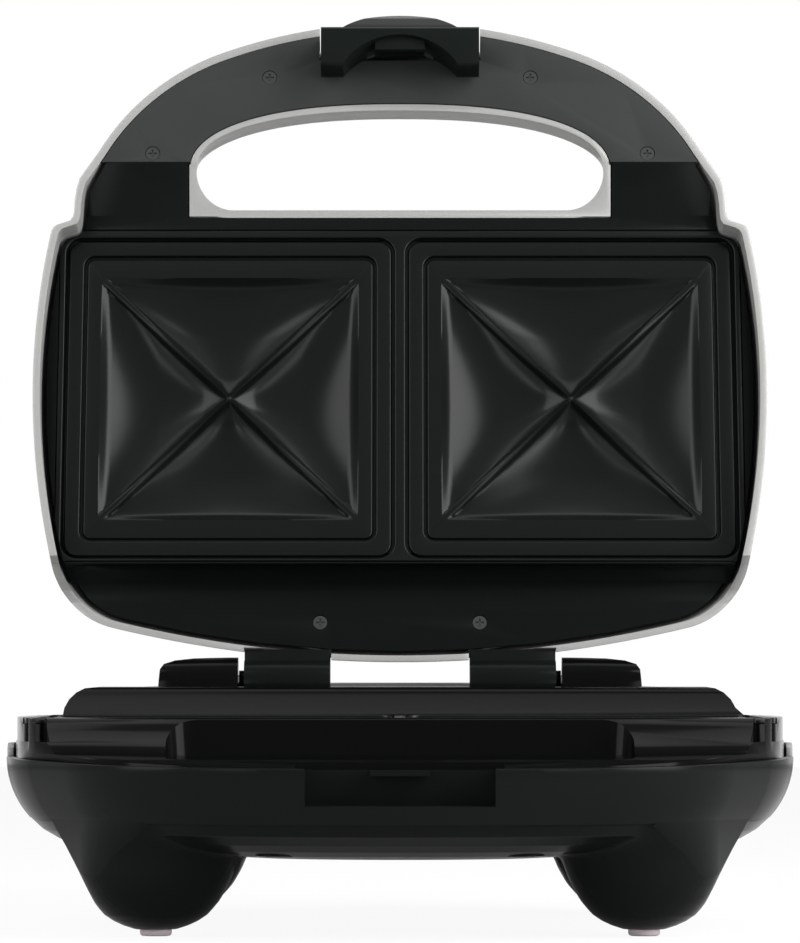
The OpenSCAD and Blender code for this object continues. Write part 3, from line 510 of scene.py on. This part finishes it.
satin_black = finish("satin_black_moulding", (0.0036, 0.0046, 0.0041), 0.23, specular=0.035, bump=0.04)
lid_black = finish("lid_inside_moulding", (0.0026, 0.0034, 0.0030), 0.24, specular=0.03, bump=0.05)
gloss_black = finish("glossy_black_moulding", (0.0012, 0.0015, 0.0013), 0.13, specular=0.03, bump=0.015)
silver = finish("silver_lacquer", (0.20, 0.20, 0.195), 0.36, specular=0.2, metallic=0.3, grain=5200.0,
                bump=0.02, coat=0.1, coat_roughness=0.14, flake=0.05)
handle_grey = finish("grey_handle_moulding", (0.017, 0.0185, 0.0178), 0.5, specular=0.06, bump=0.08)
non_stick = finish("non_stick_coating", (0.0022, 0.0029, 0.0027), 0.25, specular=0.085, grain=1500.0,
                   bump=0.05)
dull_steel = finish("element_sheath", (0.30, 0.29, 0.28), 0.45, metallic=1.0, grain=3000.0, bump=0.08)
bright_steel = finish("bright_sheet", (0.62, 0.62, 0.61), 0.28, metallic=1.0, grain=1800.0, bump=0.04)
screw_metal = finish("blackened_screw", (0.035, 0.036, 0.036), 0.36, metallic=0.8, grain=3200.0, bump=0.06)
zinc = finish("zinc_plate", (0.45, 0.45, 0.44), 0.35, metallic=1.0, grain=3200.0, bump=0.06)
ceramic = finish("ivory_ceramic", (0.72, 0.69, 0.60), 0.6, specular=0.3, grain=1400.0, bump=0.1)
rubber = finish("foot_rubber", (0.40, 0.345, 0.365), 0.62, specular=0.25, grain=1900.0, bump=0.12)
red_glass = finish("red_lens", (0.50, 0.02, 0.015), 0.12, specular=0.5, grain=700.0, bump=0.02, coat=0.5)
green_glass = finish("green_lens", (0.04, 0.40, 0.08), 0.12, specular=0.5, grain=700.0, bump=0.02, coat=0.5)

FINISHES = {
    "base_cover": satin_black, "base_trim": silver, "base_frame": gloss_black, "lower_plate": non_stick,
    "lower_element": dull_steel, "lower_reflector": bright_steel, "thermostat": ceramic,
    "thermal_fuse": ceramic, "terminal_block": ceramic, "cord_gland": satin_black,
    "lower_plate_screws": zinc, "base_screws": zinc, "foot_front_left": rubber, "foot_front_right": rubber,
    "foot_rear_left": rubber, "foot_rear_right": rubber, "hinge_pin_left": zinc, "hinge_pin_right": zinc,
    "lid_cover": silver, "lid_frame": lid_black,
    "handle_panel": handle_grey, "upper_plate": non_stick, "upper_element": dull_steel,
    "upper_reflector": bright_steel, "upper_plate_screws": zinc, "handle_screws": screw_metal,
    "lid_screws": screw_metal, "power_lens": red_glass, "ready_lens": green_glass, "lamp_holder": ceramic,
    "latch_pin": zinc, "latch_spring": bright_steel, "latch": satin_black,
}
for node, coat in FINISHES.items():
    nodes[node].data.materials.clear()
    nodes[node].data.materials.append(coat)

# ---------------------------------------------------------------- cooking plates

CELL_X = 58.4
CELL_Y = 99.4
CELL_W = 113.2
CELL_D = 117.0
CELL_CORNER_R = 5.8
INNER_W = 100.6
INNER_D = 104.2
INNER_CORNER_R = 3.9
POCKET = 88.4
PLATE_HALF_W = 117.0
PLATE_Y0 = 40.0
PLATE_Y1 = 160.6
FLANGE_GAP = 3.8
LAND_1 = -0.8
LAND_2 = -1.5
PAN_HALF = 46
POST_PLACES = [(108.8, 60), (-108.8, 60), (108.8, 140), (-108.8, 140)]
SHIELD_POST_YS = (76, 124)
SADDLE_XS = (-48, 48)
ELEMENT_YS = (65, 135)
ELEMENT_Z = -16.4

# Wells of a pocket: how deep, how far the fall from the border reaches, and how the crossing rises
POCKET_DEPTH = 6.2
FALL_RUN = 20.0
FALL_POWER = 1.7
CROSSING_RUN = 8.0
CROSSING_POWER = 1.2
SCALLOP_POWER = 2.3
BORDER_FALL = 0.25
RIB_FLANK = 0.75
RIB_FOOT = 1.25
RIB_CROWN = 0.18
RIB_CROWN_SHARE = 0.3

# Groove in section, going inwards from its outer lip: (inset, height above the land inside)
LIP = 0.45
GROOVE_W = 1.25
GROOVE_D = 1.3


def side_steps():
    """Places along one side of a cell, close together near its corners."""
    near = [0.0, 0.006, 0.012, 0.02, 0.028, 0.038, 0.05, 0.065, 0.085, 0.11, 0.145, 0.19, 0.25, 0.33, 0.43,
            0.56, 0.72, 0.86]
    half = [1 - t for t in near]
    return [-t for t in half] + [0.0] + half[:0:-1]


STEPS = side_steps()


def rounded_ring(half_x, half_y, radius, z):
    """A rounded rectangle with as many points as any other, so that rings can be joined."""
    ring = []
    for turn in range(4):
        along, deep = (half_x, half_y) if turn % 2 == 0 else (half_y, half_x)
        for t in STEPS:
            run = t * along
            reach = abs(run) - (along - radius)
            x, y = run, -deep
            if reach > 0 and radius > 0:
                bend = math.radians(45) * reach / radius
                x = math.copysign(along - radius + radius * math.sin(bend), run)
                y = -(deep - radius) - radius * math.cos(bend)
            for _ in range(turn):
                x, y = -y, x
            ring.append((x, y, z))
    return ring


def groove_rings(half_x, half_y, radius, high, low):
    """Rings over one groove: its outer lip at the height high, its inner lip at the height low."""
    quarter = np.radians((0, 30, 60, 90))
    profile = [(-LIP * (1 - math.sin(a)), high - LIP * (1 - math.cos(a))) for a in quarter]
    floor = low - GROOVE_D
    profile += [(0.03, floor + 0.35), (0.2, floor + 0.1), (GROOVE_W / 2, floor), (GROOVE_W - 0.2, floor + 0.1),
                (GROOVE_W - 0.03, floor + 0.35)]
    profile += [(GROOVE_W + LIP * (1 - math.cos(a)), low - LIP * (1 - math.sin(a))) for a in quarter]
    return [rounded_ring(half_x - i, half_y - i, max(radius - i, 0.3), z) for i, z in profile]


def ease(t):
    """Runs smoothly from 0 to 1 as t does."""
    u = min(1.0, max(0.0, t))
    return u * u * (3 - 2 * u)


def well_height(x, y):
    """Height of the pocket's surface: four scalloped wells that meet in ribs along the diagonals."""
    half = POCKET / 2
    out = max(abs(x), abs(y)) / half
    side = min(abs(x), abs(y)) / half
    if out < 1e-6:
        return LAND_2 - BORDER_FALL
    off_rib = (out - side) * half / math.sqrt(2)
    # Steep where it leaves the border, then level, with a softer rise to the crossing
    fall = min(1.0, (1 - out) * half / FALL_RUN)
    dish = (1 - (1 - fall) ** FALL_POWER) * (1 - math.exp(-out * half / CROSSING_RUN)) ** CROSSING_POWER
    spread = 1 - (side / out) ** SCALLOP_POWER
    rib_half = 0.3 + 0.65 * min(1.0, out / 0.45) * min(1.0, (1.02 - out) / 0.12 + 0.25)
    flank = ease((off_rib - rib_half) / RIB_FLANK)
    foot = RIB_FOOT * min(1.0, (1 - out) / 0.06) * min(1.0, 0.35 + out / 0.3)
    crown = RIB_CROWN * math.sin(math.pi * off_rib / rib_half) if off_rib < rib_half else 0.0
    border = LAND_2 - BORDER_FALL * (1 - out)
    return border - foot * flank - POCKET_DEPTH * dish * spread + crown * RIB_CROWN_SHARE


def pocket_rings():
    levels = [1.0, 0.992, 0.98, 0.965, 0.95] + list(np.linspace(0.93, 0.1, 44)) + [0.075, 0.05, 0.03, 0.015]
    rings = []
    for share in levels:
        ring = rounded_ring(POCKET / 2 * share, POCKET / 2 * share, 0.0, 0.0)
        rings.append([(x, y, well_height(x, y)) for x, y, _ in ring])
    return rings


def cell_cutter(name, side):
    """What is cut from a plate for one cell: two grooves, two lands and the pocket."""
    outer_x, outer_y = CELL_W / 2, CELL_D / 2
    inner_x, inner_y = INNER_W / 2, INNER_D / 2
    rings = [rounded_ring(outer_x + 0.6, outer_y + 0.6, 6.8, 4.0)]
    rings += [rounded_ring(outer_x + LIP + 0.01, outer_y + LIP + 0.01, 6.2, 0.02)]
    rings += groove_rings(outer_x, outer_y, CELL_CORNER_R, 0.0, LAND_1)
    rings += groove_rings(inner_x, inner_y, INNER_CORNER_R, LAND_1, LAND_2)
    rings += [rounded_ring(POCKET / 2 + 0.25, POCKET / 2 + 0.25, 0.8, LAND_2)]
    rings += pocket_rings()
    rings += [[(0.001 * x, 0.001 * y, LAND_2 - BORDER_FALL) for x, y, _ in rings[-1]]]
    piece = loft(name, rings)
    piece.data.transform(Matrix.Translation((side * CELL_X, CELL_Y, 0)))
    return piece


def cooking_plate(name):
    """One cast plate with its cooking face up at Z = 0."""
    plate = block(name, (-PLATE_HALF_W, PLATE_Y0, -2), (PLATE_HALF_W, PLATE_Y1, 0))
    combine(plate, slab("flange_plan", inset(LID_PLAN, 100, FLANGE_GAP, FLANGE_GAP), -5, 5), "INTERSECT")
    bevel(plate, 0.4, 3)
    backs = [block("back", (-112.6, 43.4, -5), (112.6, 157.2, -1.5))]
    backs += [block("pan", (x - PAN_HALF, CELL_Y - PAN_HALF, -13), (x + PAN_HALF, CELL_Y + PAN_HALF, -4), 2.0)
              for x in (-CELL_X, CELL_X)]
    backs += [rod("post", (x, y, -9), (x, y, -4), 3.6) for x, y in POST_PLACES]
    backs += [rod("shield_post", (0, y, -21.6), (0, y, -4), 3.4) for y in SHIELD_POST_YS]
    backs += [block("saddle", (x - 4, y - 5, -21), (x + 4, y + 5, -12.9)) for x in SADDLE_XS for y in ELEMENT_YS]
    add(plate, *backs)
    cut(plate, cell_cutter("left_cell", -1), cell_cutter("right_cell", 1))
    grooves = [rod("element_groove", (-62, y, ELEMENT_Z), (62, y, ELEMENT_Z), 3.21) for y in ELEMENT_YS]
    bores = [rod("bore", (x, y, -10), (x, y, -4), 1.9) for x, y in POST_PLACES]
    cut(plate, *grooves, *bores)
    return smooth(plate, 40)


def copy_of(piece, name):
    twin = bpy.data.objects.new(name, piece.data.copy())
    bpy.context.scene.collection.objects.link(twin)
    return twin


lower_casting = cooking_plate("lower_casting")
upper_casting = copy_of(lower_casting, "upper_casting")
lower_casting.data.transform(Matrix.Translation((0, 0, PLATE_Z)))
upper_casting.data.transform(
    Matrix.Translation((0, 0, PLATE_Z + PLATES_APART)) @ Matrix.Scale(-1, 4, (0, 0, 1)))
upper_casting.data.flip_normals()
seat(lower_casting, "base", non_stick, ["lower_plate"])
seat(upper_casting, "lid", non_stick, ["upper_plate"])

# ---------------------------------------------------------------- lid shell

DOME_MID_Y = 100.0
DOME_POWER = 4
CROWN_Y1 = 142.0
HANDLE_Y0 = 182.0
DOME_HALF_D = 120
DOME_STEPS = [0.985, 0.965, 0.94, 0.91, 0.875, 0.835, 0.79, 0.74, 0.68, 0.6, 0.5, 0.38, 0.25, 0.13, 0.04, 0]
INNER_STEPS = (0, 0.04, 0.12, 0.22, 0.34, 0.46, 0.58, 0.7, 0.8, 0.88, 0.94)
LATCH_SLOT = ((-27.9, 221), (27.9, 251))
ARM_SLOTS = (("arm_slot_left", -52.8, -23.2), ("arm_slot_right", 23.2, 52.8))
LENS_PLACES = [(-13, 126), (13, 126)]


def dome_height(y):
    """Height of the dome's top above its rim: it falls from the crown to the handle."""
    return RIM_DROP + CROWN_H - (CROWN_H - HANDLE_TOP_H) * ease((y - CROWN_Y1) / (HANDLE_Y0 - CROWN_Y1))


def dome_ring(t, depth):
    """One ring of the dome, from its rim at t = 0 to its top at t = 1, at a depth below the outer skin."""
    reach = math.cos(math.pi / 2 * t) ** (2 / DOME_POWER)
    rise = math.sin(math.pi / 2 * t) ** (2 / DOME_POWER)
    ring = []
    for x, y in LID_PLAN:
        out_y = DOME_MID_Y + (y - DOME_MID_Y) * (1 - depth / DOME_HALF_D) * reach
        ring.append((x * (1 - depth / HALF_W) * reach, out_y, LID_RIM_Z + (dome_height(out_y) - depth) * rise))
    return ring


def finer(steps):
    """The same run of values with one more between each two."""
    places = np.linspace(0, len(steps) - 1, 2 * len(steps) - 1)
    return list(np.interp(places, range(len(steps)), steps))


def dome(name, depth, inner):
    """The lid's dome: a shell with an inner skin, or solid down to its rim."""
    top = LID_RIM_Z + RIM_DROP + CROWN_H
    rings = [[(0.0, DOME_MID_Y, top - depth)] * len(LID_PLAN)] + [dome_ring(t, depth) for t in finer(DOME_STEPS)]
    if inner:
        rings += [dome_ring(t, WALL) for t in INNER_STEPS]
        rings += [[(0.0, DOME_MID_Y, top - WALL)] * len(LID_PLAN)]
    return loft(name, rings)


def lid_shell():
    shell = dome("lid_shell", 0.0, True)
    collar = hole_body("collar", COLLAR_T, LID_RIM_Z)
    half = HOLE_HALF_W + COLLAR_T + 0.15
    add(collar, block("collar_foot", (-half, HOLE_Y0 - COLLAR_T, LID_RIM_Z + 0.01), (half, HOLE_Y0 + 14, 100)))
    below_roots = [(100, 40), (186.8, 40), (184.8, LID_RIM_Z - 0.7), (166, PLATE_Z + 0.6), (100, PLATE_Z + 0.6)]
    cut(collar, across("below_roots", below_roots, -90, 90))
    combine(collar, dome("lid_fill", 0.4, False), "INTERSECT")
    add(shell, collar)
    # The rim steps back over the hump behind the lower plate
    hump_cut = [(40, 40), (40, LID_RIM_Z - 1), (39.2, LID_RIM_Z + 0.2), (38.6, 66.8), (31.8, 74.6), (28, 76.6),
                (-20, 76.6), (-20, 40)]
    cut(shell, hole_body("hole", 0.0, 40), across("hump_cut", hump_cut, -126, 126),
        *[block(name, (x0, -20, 60), (x1, 12.3, 85)) for name, x0, x1 in ARM_SLOTS],
        block("latch_slot", (*LATCH_SLOT[0], 40), (*LATCH_SLOT[1], 100)))
    cut(shell, *[rod("lens_hole", (x, y, 80), (x, y, 120), 4.2) for x, y in LENS_PLACES])
    bevel(shell, 0.3, 2, 40)
    return smooth(shell, 40)


seat(lid_shell(), "lid", silver, ["lid_cover"])

# ---------------------------------------------------------------- handle panel

LID_GAP = WALL + 0.4
HANDLE_SCREWS = [(45.2, 214.7), (-45.2, 214.7), (85.4, 186.1), (-85.4, 186.1)]
LATCH_AXLE_Y = 225.0
LATCH_AXLE_Z = PLATE_Z - 2


def handle_panel():
    plan = inset(LID_PLAN, DOME_MID_Y, LID_GAP, LID_GAP)
    panel = slab("handle_underside", plan, PANEL_Z, PANEL_Z + PANEL_T)
    cut(panel, block("root_side", (-130, -10, 0), (130, 182.9, 120)), collar_body("collar_room", 0.3, 40, 120),
        block("latch_slot", (*LATCH_SLOT[0], 40), (*LATCH_SLOT[1], 120)))
    cut(panel, *[rod("shank_hole", (x, y, 50), (x, y, 75), 1.8, 32) for x, y in HANDLE_SCREWS])
    cut(panel, *[rod("head_seat", (x, y, 50), (x, y, PANEL_Z + 1.2), 2.6, 48) for x, y in HANDLE_SCREWS])
    bevel(panel, 0.35, 3, 40)
    for side in (-1, 1):
        near, far = side * 28.2, side * 31
        ear = block("ear", (min(near, far), 222, PANEL_Z + 0.1), (max(near, far), 228, LATCH_AXLE_Z))
        add(ear, rod("ear_eye", (near, LATCH_AXLE_Y, LATCH_AXLE_Z), (far, LATCH_AXLE_Y, LATCH_AXLE_Z), 3))
        add(panel, ear)
    return smooth(panel, 35)


seat(handle_panel(), "lid", handle_grey, ["handle_panel"])

# ---------------------------------------------------------------- latch

LATCH_HALF_W = 27.3
LATCH_TIP_Y = 241.8
THUMB_R = 28.0
THUMB_HALF_W = 26
ARCH_CUT_Z = 58.4
ARCH_CUT_R = 23.4


def clip_latch():
    """Square body with an arch cut in it, a round thumb edge above and a lip that hooks under the catch."""
    side = [(213.4, 43.6), (226.2, 43.6), (227.2, 44.6), (227.8, 50), (228.8, 58), (230.6, 66), (232, 70),
            (232.4, 74), (231, 76.2), (228, 76.6), (224.6, 74.6), (222.8, 71), (222.4, 66), (222.4, 58.4),
            (213.4, 56.2)]
    latch = across("clip_latch", side, -LATCH_HALF_W, LATCH_HALF_W)
    thumb_side = [(224, 57), (231.2, 57), (234.6, 59.4), (238.8, 63.2), (LATCH_TIP_Y, 67.4), (241, 71.8),
                  (238, 75.4), (233.6, 76.8), (228, 76.5), (225.2, 74.8), (223, 66)]
    thumb = across("thumb_edge", thumb_side, -THUMB_HALF_W, THUMB_HALF_W)
    thumb_plan = arc((0, LATCH_TIP_Y - THUMB_R), THUMB_R, 0, 360, 120)
    combine(thumb, slab("thumb_plan", thumb_plan, 40, 90), "INTERSECT")
    add(latch, thumb)
    cut(latch, rod("arch_cut", (0, 200.6, 20), (0, 200.6, ARCH_CUT_Z), ARCH_CUT_R, 96))
    add(latch, across("latch_lip", [(219.4, 46), (219.4, 48), (226, 49), (226, 46)], -8.6, 8.6))
    cut(latch, rod("axle_bore", (-40, LATCH_AXLE_Y, LATCH_AXLE_Z), (40, LATCH_AXLE_Y, LATCH_AXLE_Z), 1.55))
    bevel(latch, 0.5, 3, 30)
    return smooth(latch, 35)


seat(clip_latch(), "latch", satin_black, ["latch"])

# ---------------------------------------------------------------- lower shell with its legs

BASE_MID_Y = 112.0
APRON_FOOT_Z = 35.2
CREASE = 3.2
TRIM_END_Y = 110.0
TRIM_FOOT_Z = 52.6
# Levels of the skin as (height, inset at the sides, inset at the ends)
BELLY_LEVELS = [(APRON_FOOT_Z + 0.5, 7.5, 2.4 + CREASE), (APRON_FOOT_Z - 0.6, 8.1, 3 + CREASE),
                (31.5, 11.5, 8.5), (28.6, 16.4, 15.5), (26.4, 25, 24), (24.6, 42, 38),
                (BELLY_Z + 0.6, 75, 70), (BELLY_Z, 125, 115)]
INSIDE_LEVELS = [(25.4, 76, 71), (27.2, 42, 39), (29.2, 25.6, 25), (32.4, 17, 17), (37, 9.4, 7.6), (44, 5, 4.4),
                 (49, 2.6, 2.6)]
APRON_HEIGHTS = [50, 48, 46, 44, 42, 40, 38.5, 37, 36, APRON_FOOT_Z]
FALL_START_Y = 150
# A leg's outline: distance from its middle, and height there
LEG_RADII = [0, 4, 6.4, 10, 13, 15.7, 17.5, 19, 20.2, 21.2, 22.2, 23.1, 23.9, 24.5, 25.2, 26.4, 28.4, 31.5, 36]
LEG_HEIGHTS = [2, 2, 2.05, 3.2, 4.6, 6.4, 8.3, 10.1, 11.9, 13.7, 15.5, 17.4, 19.4, 21.6, 24, 26.4, 29, 33, 40]
LEG_PLACES = [(LEG_X, LEG_FRONT_Y), (-LEG_X, LEG_FRONT_Y), (LEG_X, LEG_REAR_Y), (-LEG_X, LEG_REAR_Y)]


def bulge(z):
    """How far the apron has drawn in at a height: a quarter circle below its rim."""
    return BULGE_R * (1 - math.sqrt(1 - ((RIM_Z - z) / BULGE_R) ** 2))


def rim_height(y):
    """Height of the shell's edge: low under the silver band, then falling towards the front."""
    if y < TRIM_END_Y + 2:
        return TRIM_FOOT_Z
    return RIM_Z - RIM_FALL * max(0.0, y - FALL_START_Y) / (TIP_Y - FALL_START_Y)


def base_ring(z, in_x, in_y):
    return [(x, y, z) for x, y in inset(BASE_PLAN, BASE_MID_Y, in_x, in_y)]


def soft_least(a, b, blend):
    """The lower of two heights, with a round transition where they meet."""
    share = np.clip(0.5 + 0.5 * (b - a) / blend, 0, 1)
    return b * (1 - share) + a * share - blend * share * (1 - share)


def belly_rings():
    """Rings of the underside, from the apron's foot to the middle, pulled down over the legs."""
    share = np.linspace(0, 1, len(BELLY_LEVELS))
    levels = np.array(BELLY_LEVELS)
    run = np.concatenate([np.linspace(0, 0.8, 84), np.linspace(0.81, 0.985, 18)])
    rings = []
    for s in run:
        z, in_x, in_y = (np.interp(s, share, levels[:, k]) for k in range(3))
        ring = np.array(inset(BASE_PLAN, BASE_MID_Y, in_x, in_y))
        height = np.full(len(ring), z)
        for x, y in LEG_PLACES:
            away = np.hypot(ring[:, 0] - x, ring[:, 1] - y)
            bowl = np.interp(away, LEG_RADII, LEG_HEIGHTS, right=80)
            height = soft_least(height, bowl, min(3.2, 0.01 + 16 * s))
        rings.append([(x, y, h) for (x, y), h in zip(ring, height)])
    return rings


def base_shell():
    """The skin from the middle of the inside, over the rim and down the apron, to the middle of the belly."""
    rings = [[(0.0, BASE_MID_Y, BELLY_Z + 2.6)] * len(BASE_PLAN)]
    rings += [base_ring(*level) for level in INSIDE_LEVELS]
    rings += [[(x, y, rim_height(y)) for x, y in inset(BASE_PLAN, BASE_MID_Y, e, e)] for e in (WALL, 0.5)]
    rings += [[(x, y, rim_height(y) - 0.12) for x, y in inset(BASE_PLAN, BASE_MID_Y, 0.12, 0.12)]]
    rings += [[(x, y, rim_height(y) - 0.5) for x, y in BASE_PLAN]]
    rings += [base_ring(z, bulge(z), 2.4 * (RIM_Z - z) / (RIM_Z - APRON_FOOT_Z)) for z in APRON_HEIGHTS]
    rings += belly_rings()
    rings += [[(0.0, BASE_MID_Y, BELLY_Z)] * len(BASE_PLAN)]
    return loft("lower_moulding", rings)


NOTCH_HALF_W = 28.5
NOTCH_FLOOR_Z = 40.6
NOTCH_BACK_Y = 210.5
SCREW_PLACES = [(38, 190), (-38, 190), (38, 30), (-38, 30)]
GLAND_Z = 44


def lower_moulding():
    shell = base_shell()
    liner = block("notch_liner", (-NOTCH_HALF_W - WALL, NOTCH_BACK_Y - WALL, NOTCH_FLOOR_Z - WALL),
                  (NOTCH_HALF_W + WALL, 245, 51.3))
    combine(liner, slab("liner_plan", inset(BASE_PLAN, BASE_MID_Y, 8, 3.4), 30, 60), "INTERSECT")
    add(shell, liner)
    cut(shell, block("notch", (-NOTCH_HALF_W, NOTCH_BACK_Y, NOTCH_FLOOR_Z), (NOTCH_HALF_W, 260, 90)))
    add(shell, block("catch", (-9, NOTCH_BACK_Y - 0.4, 49.6), (9, 219, 51.2)))
    wells = [rod("screw_well", (x, y, 0), (x, y, 40), 5.4, 40) for x, y in SCREW_PLACES]
    bosses = [rod("screw_boss", (x, y, 25), (x, y, 31), 6, 40) for x, y in SCREW_PLACES]
    for well, boss, (x, y) in zip(wells, bosses, SCREW_PLACES):
        cut(shell, well)
        add(shell, boss)
        cut(shell, rod("head_room", (x, y, 10), (x, y, 28), 4.2, 40),
            rod("shank_hole", (x, y, 10), (x, y, 40), 2.2, 32))
    cut(shell, *[rod("peg_hole", (x, y, 0), (x, y, 12), 2.2, 32) for x, y in LEG_PLACES])
    cut(shell, rod("gland_hole", (0, -30, GLAND_Z), (0, -8, GLAND_Z), 7.2))
    return smooth(shell, 38)


seat(lower_moulding(), "base", satin_black, ["base_cover"])

# ---------------------------------------------------------------- pieces that keep the CAD shape

dressed_copy("base_frame", "upper_moulding", "base", gloss_black, width=0.4, angle=32)
dressed_copy("base_trim", "silver_band", "base", silver, width=0.25, angle=40)
dressed_copy("lid_frame", "lid_surround", "lid", lid_black, width=0.4, angle=40)

# ---------------------------------------------------------------- studio

CAMERA_PLACE = (0, -1.8799, 0.08136)
CAMERA_TILT = 1.9555
CAMERA_LENS = 221.95
ROOM_STRENGTH = 0.25
FLOOR_SIZE = 6
FLOOR_COLOUR = (0.62, 0.62, 0.62)
FLOOR_SHARE = 0.93
FLOOR_MIRROR_SHARE = 0.1
TOASTER_MIDDLE = (0, 0, 0.16)
FRONT_OF_BASE = (0, 0, 0.05)


def emission_for_camera(name, colour, share, mirror_share):
    """A surface that is nearly plain white to the camera, and keeps its shadow, more of it in reflections."""
    material = bpy.data.materials.new(name)
    material.use_nodes = True
    tree = material.node_tree
    shader = tree.nodes["Principled BSDF"]
    shader.inputs["Roughness"].default_value = 0.9
    shader.inputs["Specular IOR Level"].default_value = 0.0
    tint = tree.nodes.new("ShaderNodeMix")
    tint.data_type = "RGBA"
    tree.links.new(noise(tree, 3.0), tint.inputs["Factor"])
    tint.inputs["A"].default_value = [c * 0.99 for c in colour] + [1]
    tint.inputs["B"].default_value = [*colour, 1]
    tree.links.new(tint.outputs["Result"], shader.inputs["Base Color"])
    glow = tree.nodes.new("ShaderNodeEmission")
    path = tree.nodes.new("ShaderNodeLightPath")
    direct = math_node(tree, "MAXIMUM", path.outputs["Is Camera Ray"], path.outputs["Is Transmission Ray"])
    direct = math_node(tree, "MULTIPLY", direct, share)
    mirrored_share = math_node(tree, "MULTIPLY", path.outputs["Is Glossy Ray"], mirror_share)
    mix = tree.nodes.new("ShaderNodeMixShader")
    tree.links.new(math_node(tree, "MAXIMUM", direct, mirrored_share), mix.inputs["Fac"])
    tree.links.new(shader.outputs["BSDF"], mix.inputs[1])
    tree.links.new(glow.outputs["Emission"], mix.inputs[2])
    tree.links.new(mix.outputs["Shader"], tree.nodes["Material Output"].inputs["Surface"])
    return material


def pale_floor():
    deselect()
    bpy.ops.mesh.primitive_plane_add(size=FLOOR_SIZE, location=(0, 0, 0))
    floor = named("floor")
    floor.data.materials.append(
        emission_for_camera("pale_floor", FLOOR_COLOUR, FLOOR_SHARE, FLOOR_MIRROR_SHARE))


def studio_world():
    """A dim white room that looks plain white to the camera and in reflections."""
    world = bpy.data.worlds.new("studio")
    bpy.context.scene.world = world
    world.use_nodes = True
    tree = world.node_tree
    room = tree.nodes["Background"]
    room.inputs["Color"].default_value = (1, 1, 1, 1)
    room.inputs["Strength"].default_value = ROOM_STRENGTH
    white = tree.nodes.new("ShaderNodeBackground")
    white.inputs["Color"].default_value = (1, 1, 1, 1)
    white.inputs["Strength"].default_value = 1.0
    path = tree.nodes.new("ShaderNodeLightPath")
    seen = math_node(tree, "MAXIMUM", path.outputs["Is Camera Ray"], path.outputs["Is Glossy Ray"])
    seen = math_node(tree, "MAXIMUM", seen, path.outputs["Is Transmission Ray"])
    mix = tree.nodes.new("ShaderNodeMixShader")
    tree.links.new(seen, mix.inputs["Fac"])
    tree.links.new(room.outputs["Background"], mix.inputs[1])
    tree.links.new(white.outputs["Background"], mix.inputs[2])
    tree.links.new(mix.outputs["Shader"], tree.nodes["World Output"].inputs["Surface"])


def softbox(name, place, target, width, height, power):
    lamp = bpy.data.lights.new(name, "AREA")
    lamp.shape = "RECTANGLE"
    lamp.size = width
    lamp.size_y = height
    lamp.energy = power
    box = bpy.data.objects.new(name, lamp)
    bpy.context.scene.collection.objects.link(box)
    box.location = place
    box.rotation_euler = (Vector(target) - Vector(place)).to_track_quat("-Z", "Y").to_euler()


def photographer():
    camera = bpy.data.cameras.new("camera")
    camera.lens = CAMERA_LENS
    camera.sensor_width = 36
    holder = bpy.data.objects.new("camera", camera)
    bpy.context.scene.collection.objects.link(holder)
    holder.location = CAMERA_PLACE
    holder.rotation_euler = (math.radians(90 + CAMERA_TILT), 0, 0)
    bpy.context.scene.camera = holder


photographer()
pale_floor()
studio_world()
softbox("left_softbox", (-0.72, -0.38, 0.52), TOASTER_MIDDLE, 0.40, 1.1, 11)
softbox("right_softbox", (0.72, -0.38, 0.52), TOASTER_MIDDLE, 0.5, 1.1, 24)
softbox("left_strip", (-0.56, -0.90, 0.10), FRONT_OF_BASE, 0.18, 0.4, 2)
softbox("right_strip", (0.56, -0.90, 0.10), FRONT_OF_BASE, 0.18, 0.4, 2)
softbox("top_softbox", (0, 0.1, 1.4), (0, 0, 0.13), 2.4, 2.0, 5)
softbox("overhead_strip", (0, 0.175, 0.92), (0, -0.088, 0.06), 1.0, 0.26, 2.4)
bpy.context.scene.view_settings.view_transform = "Standard"
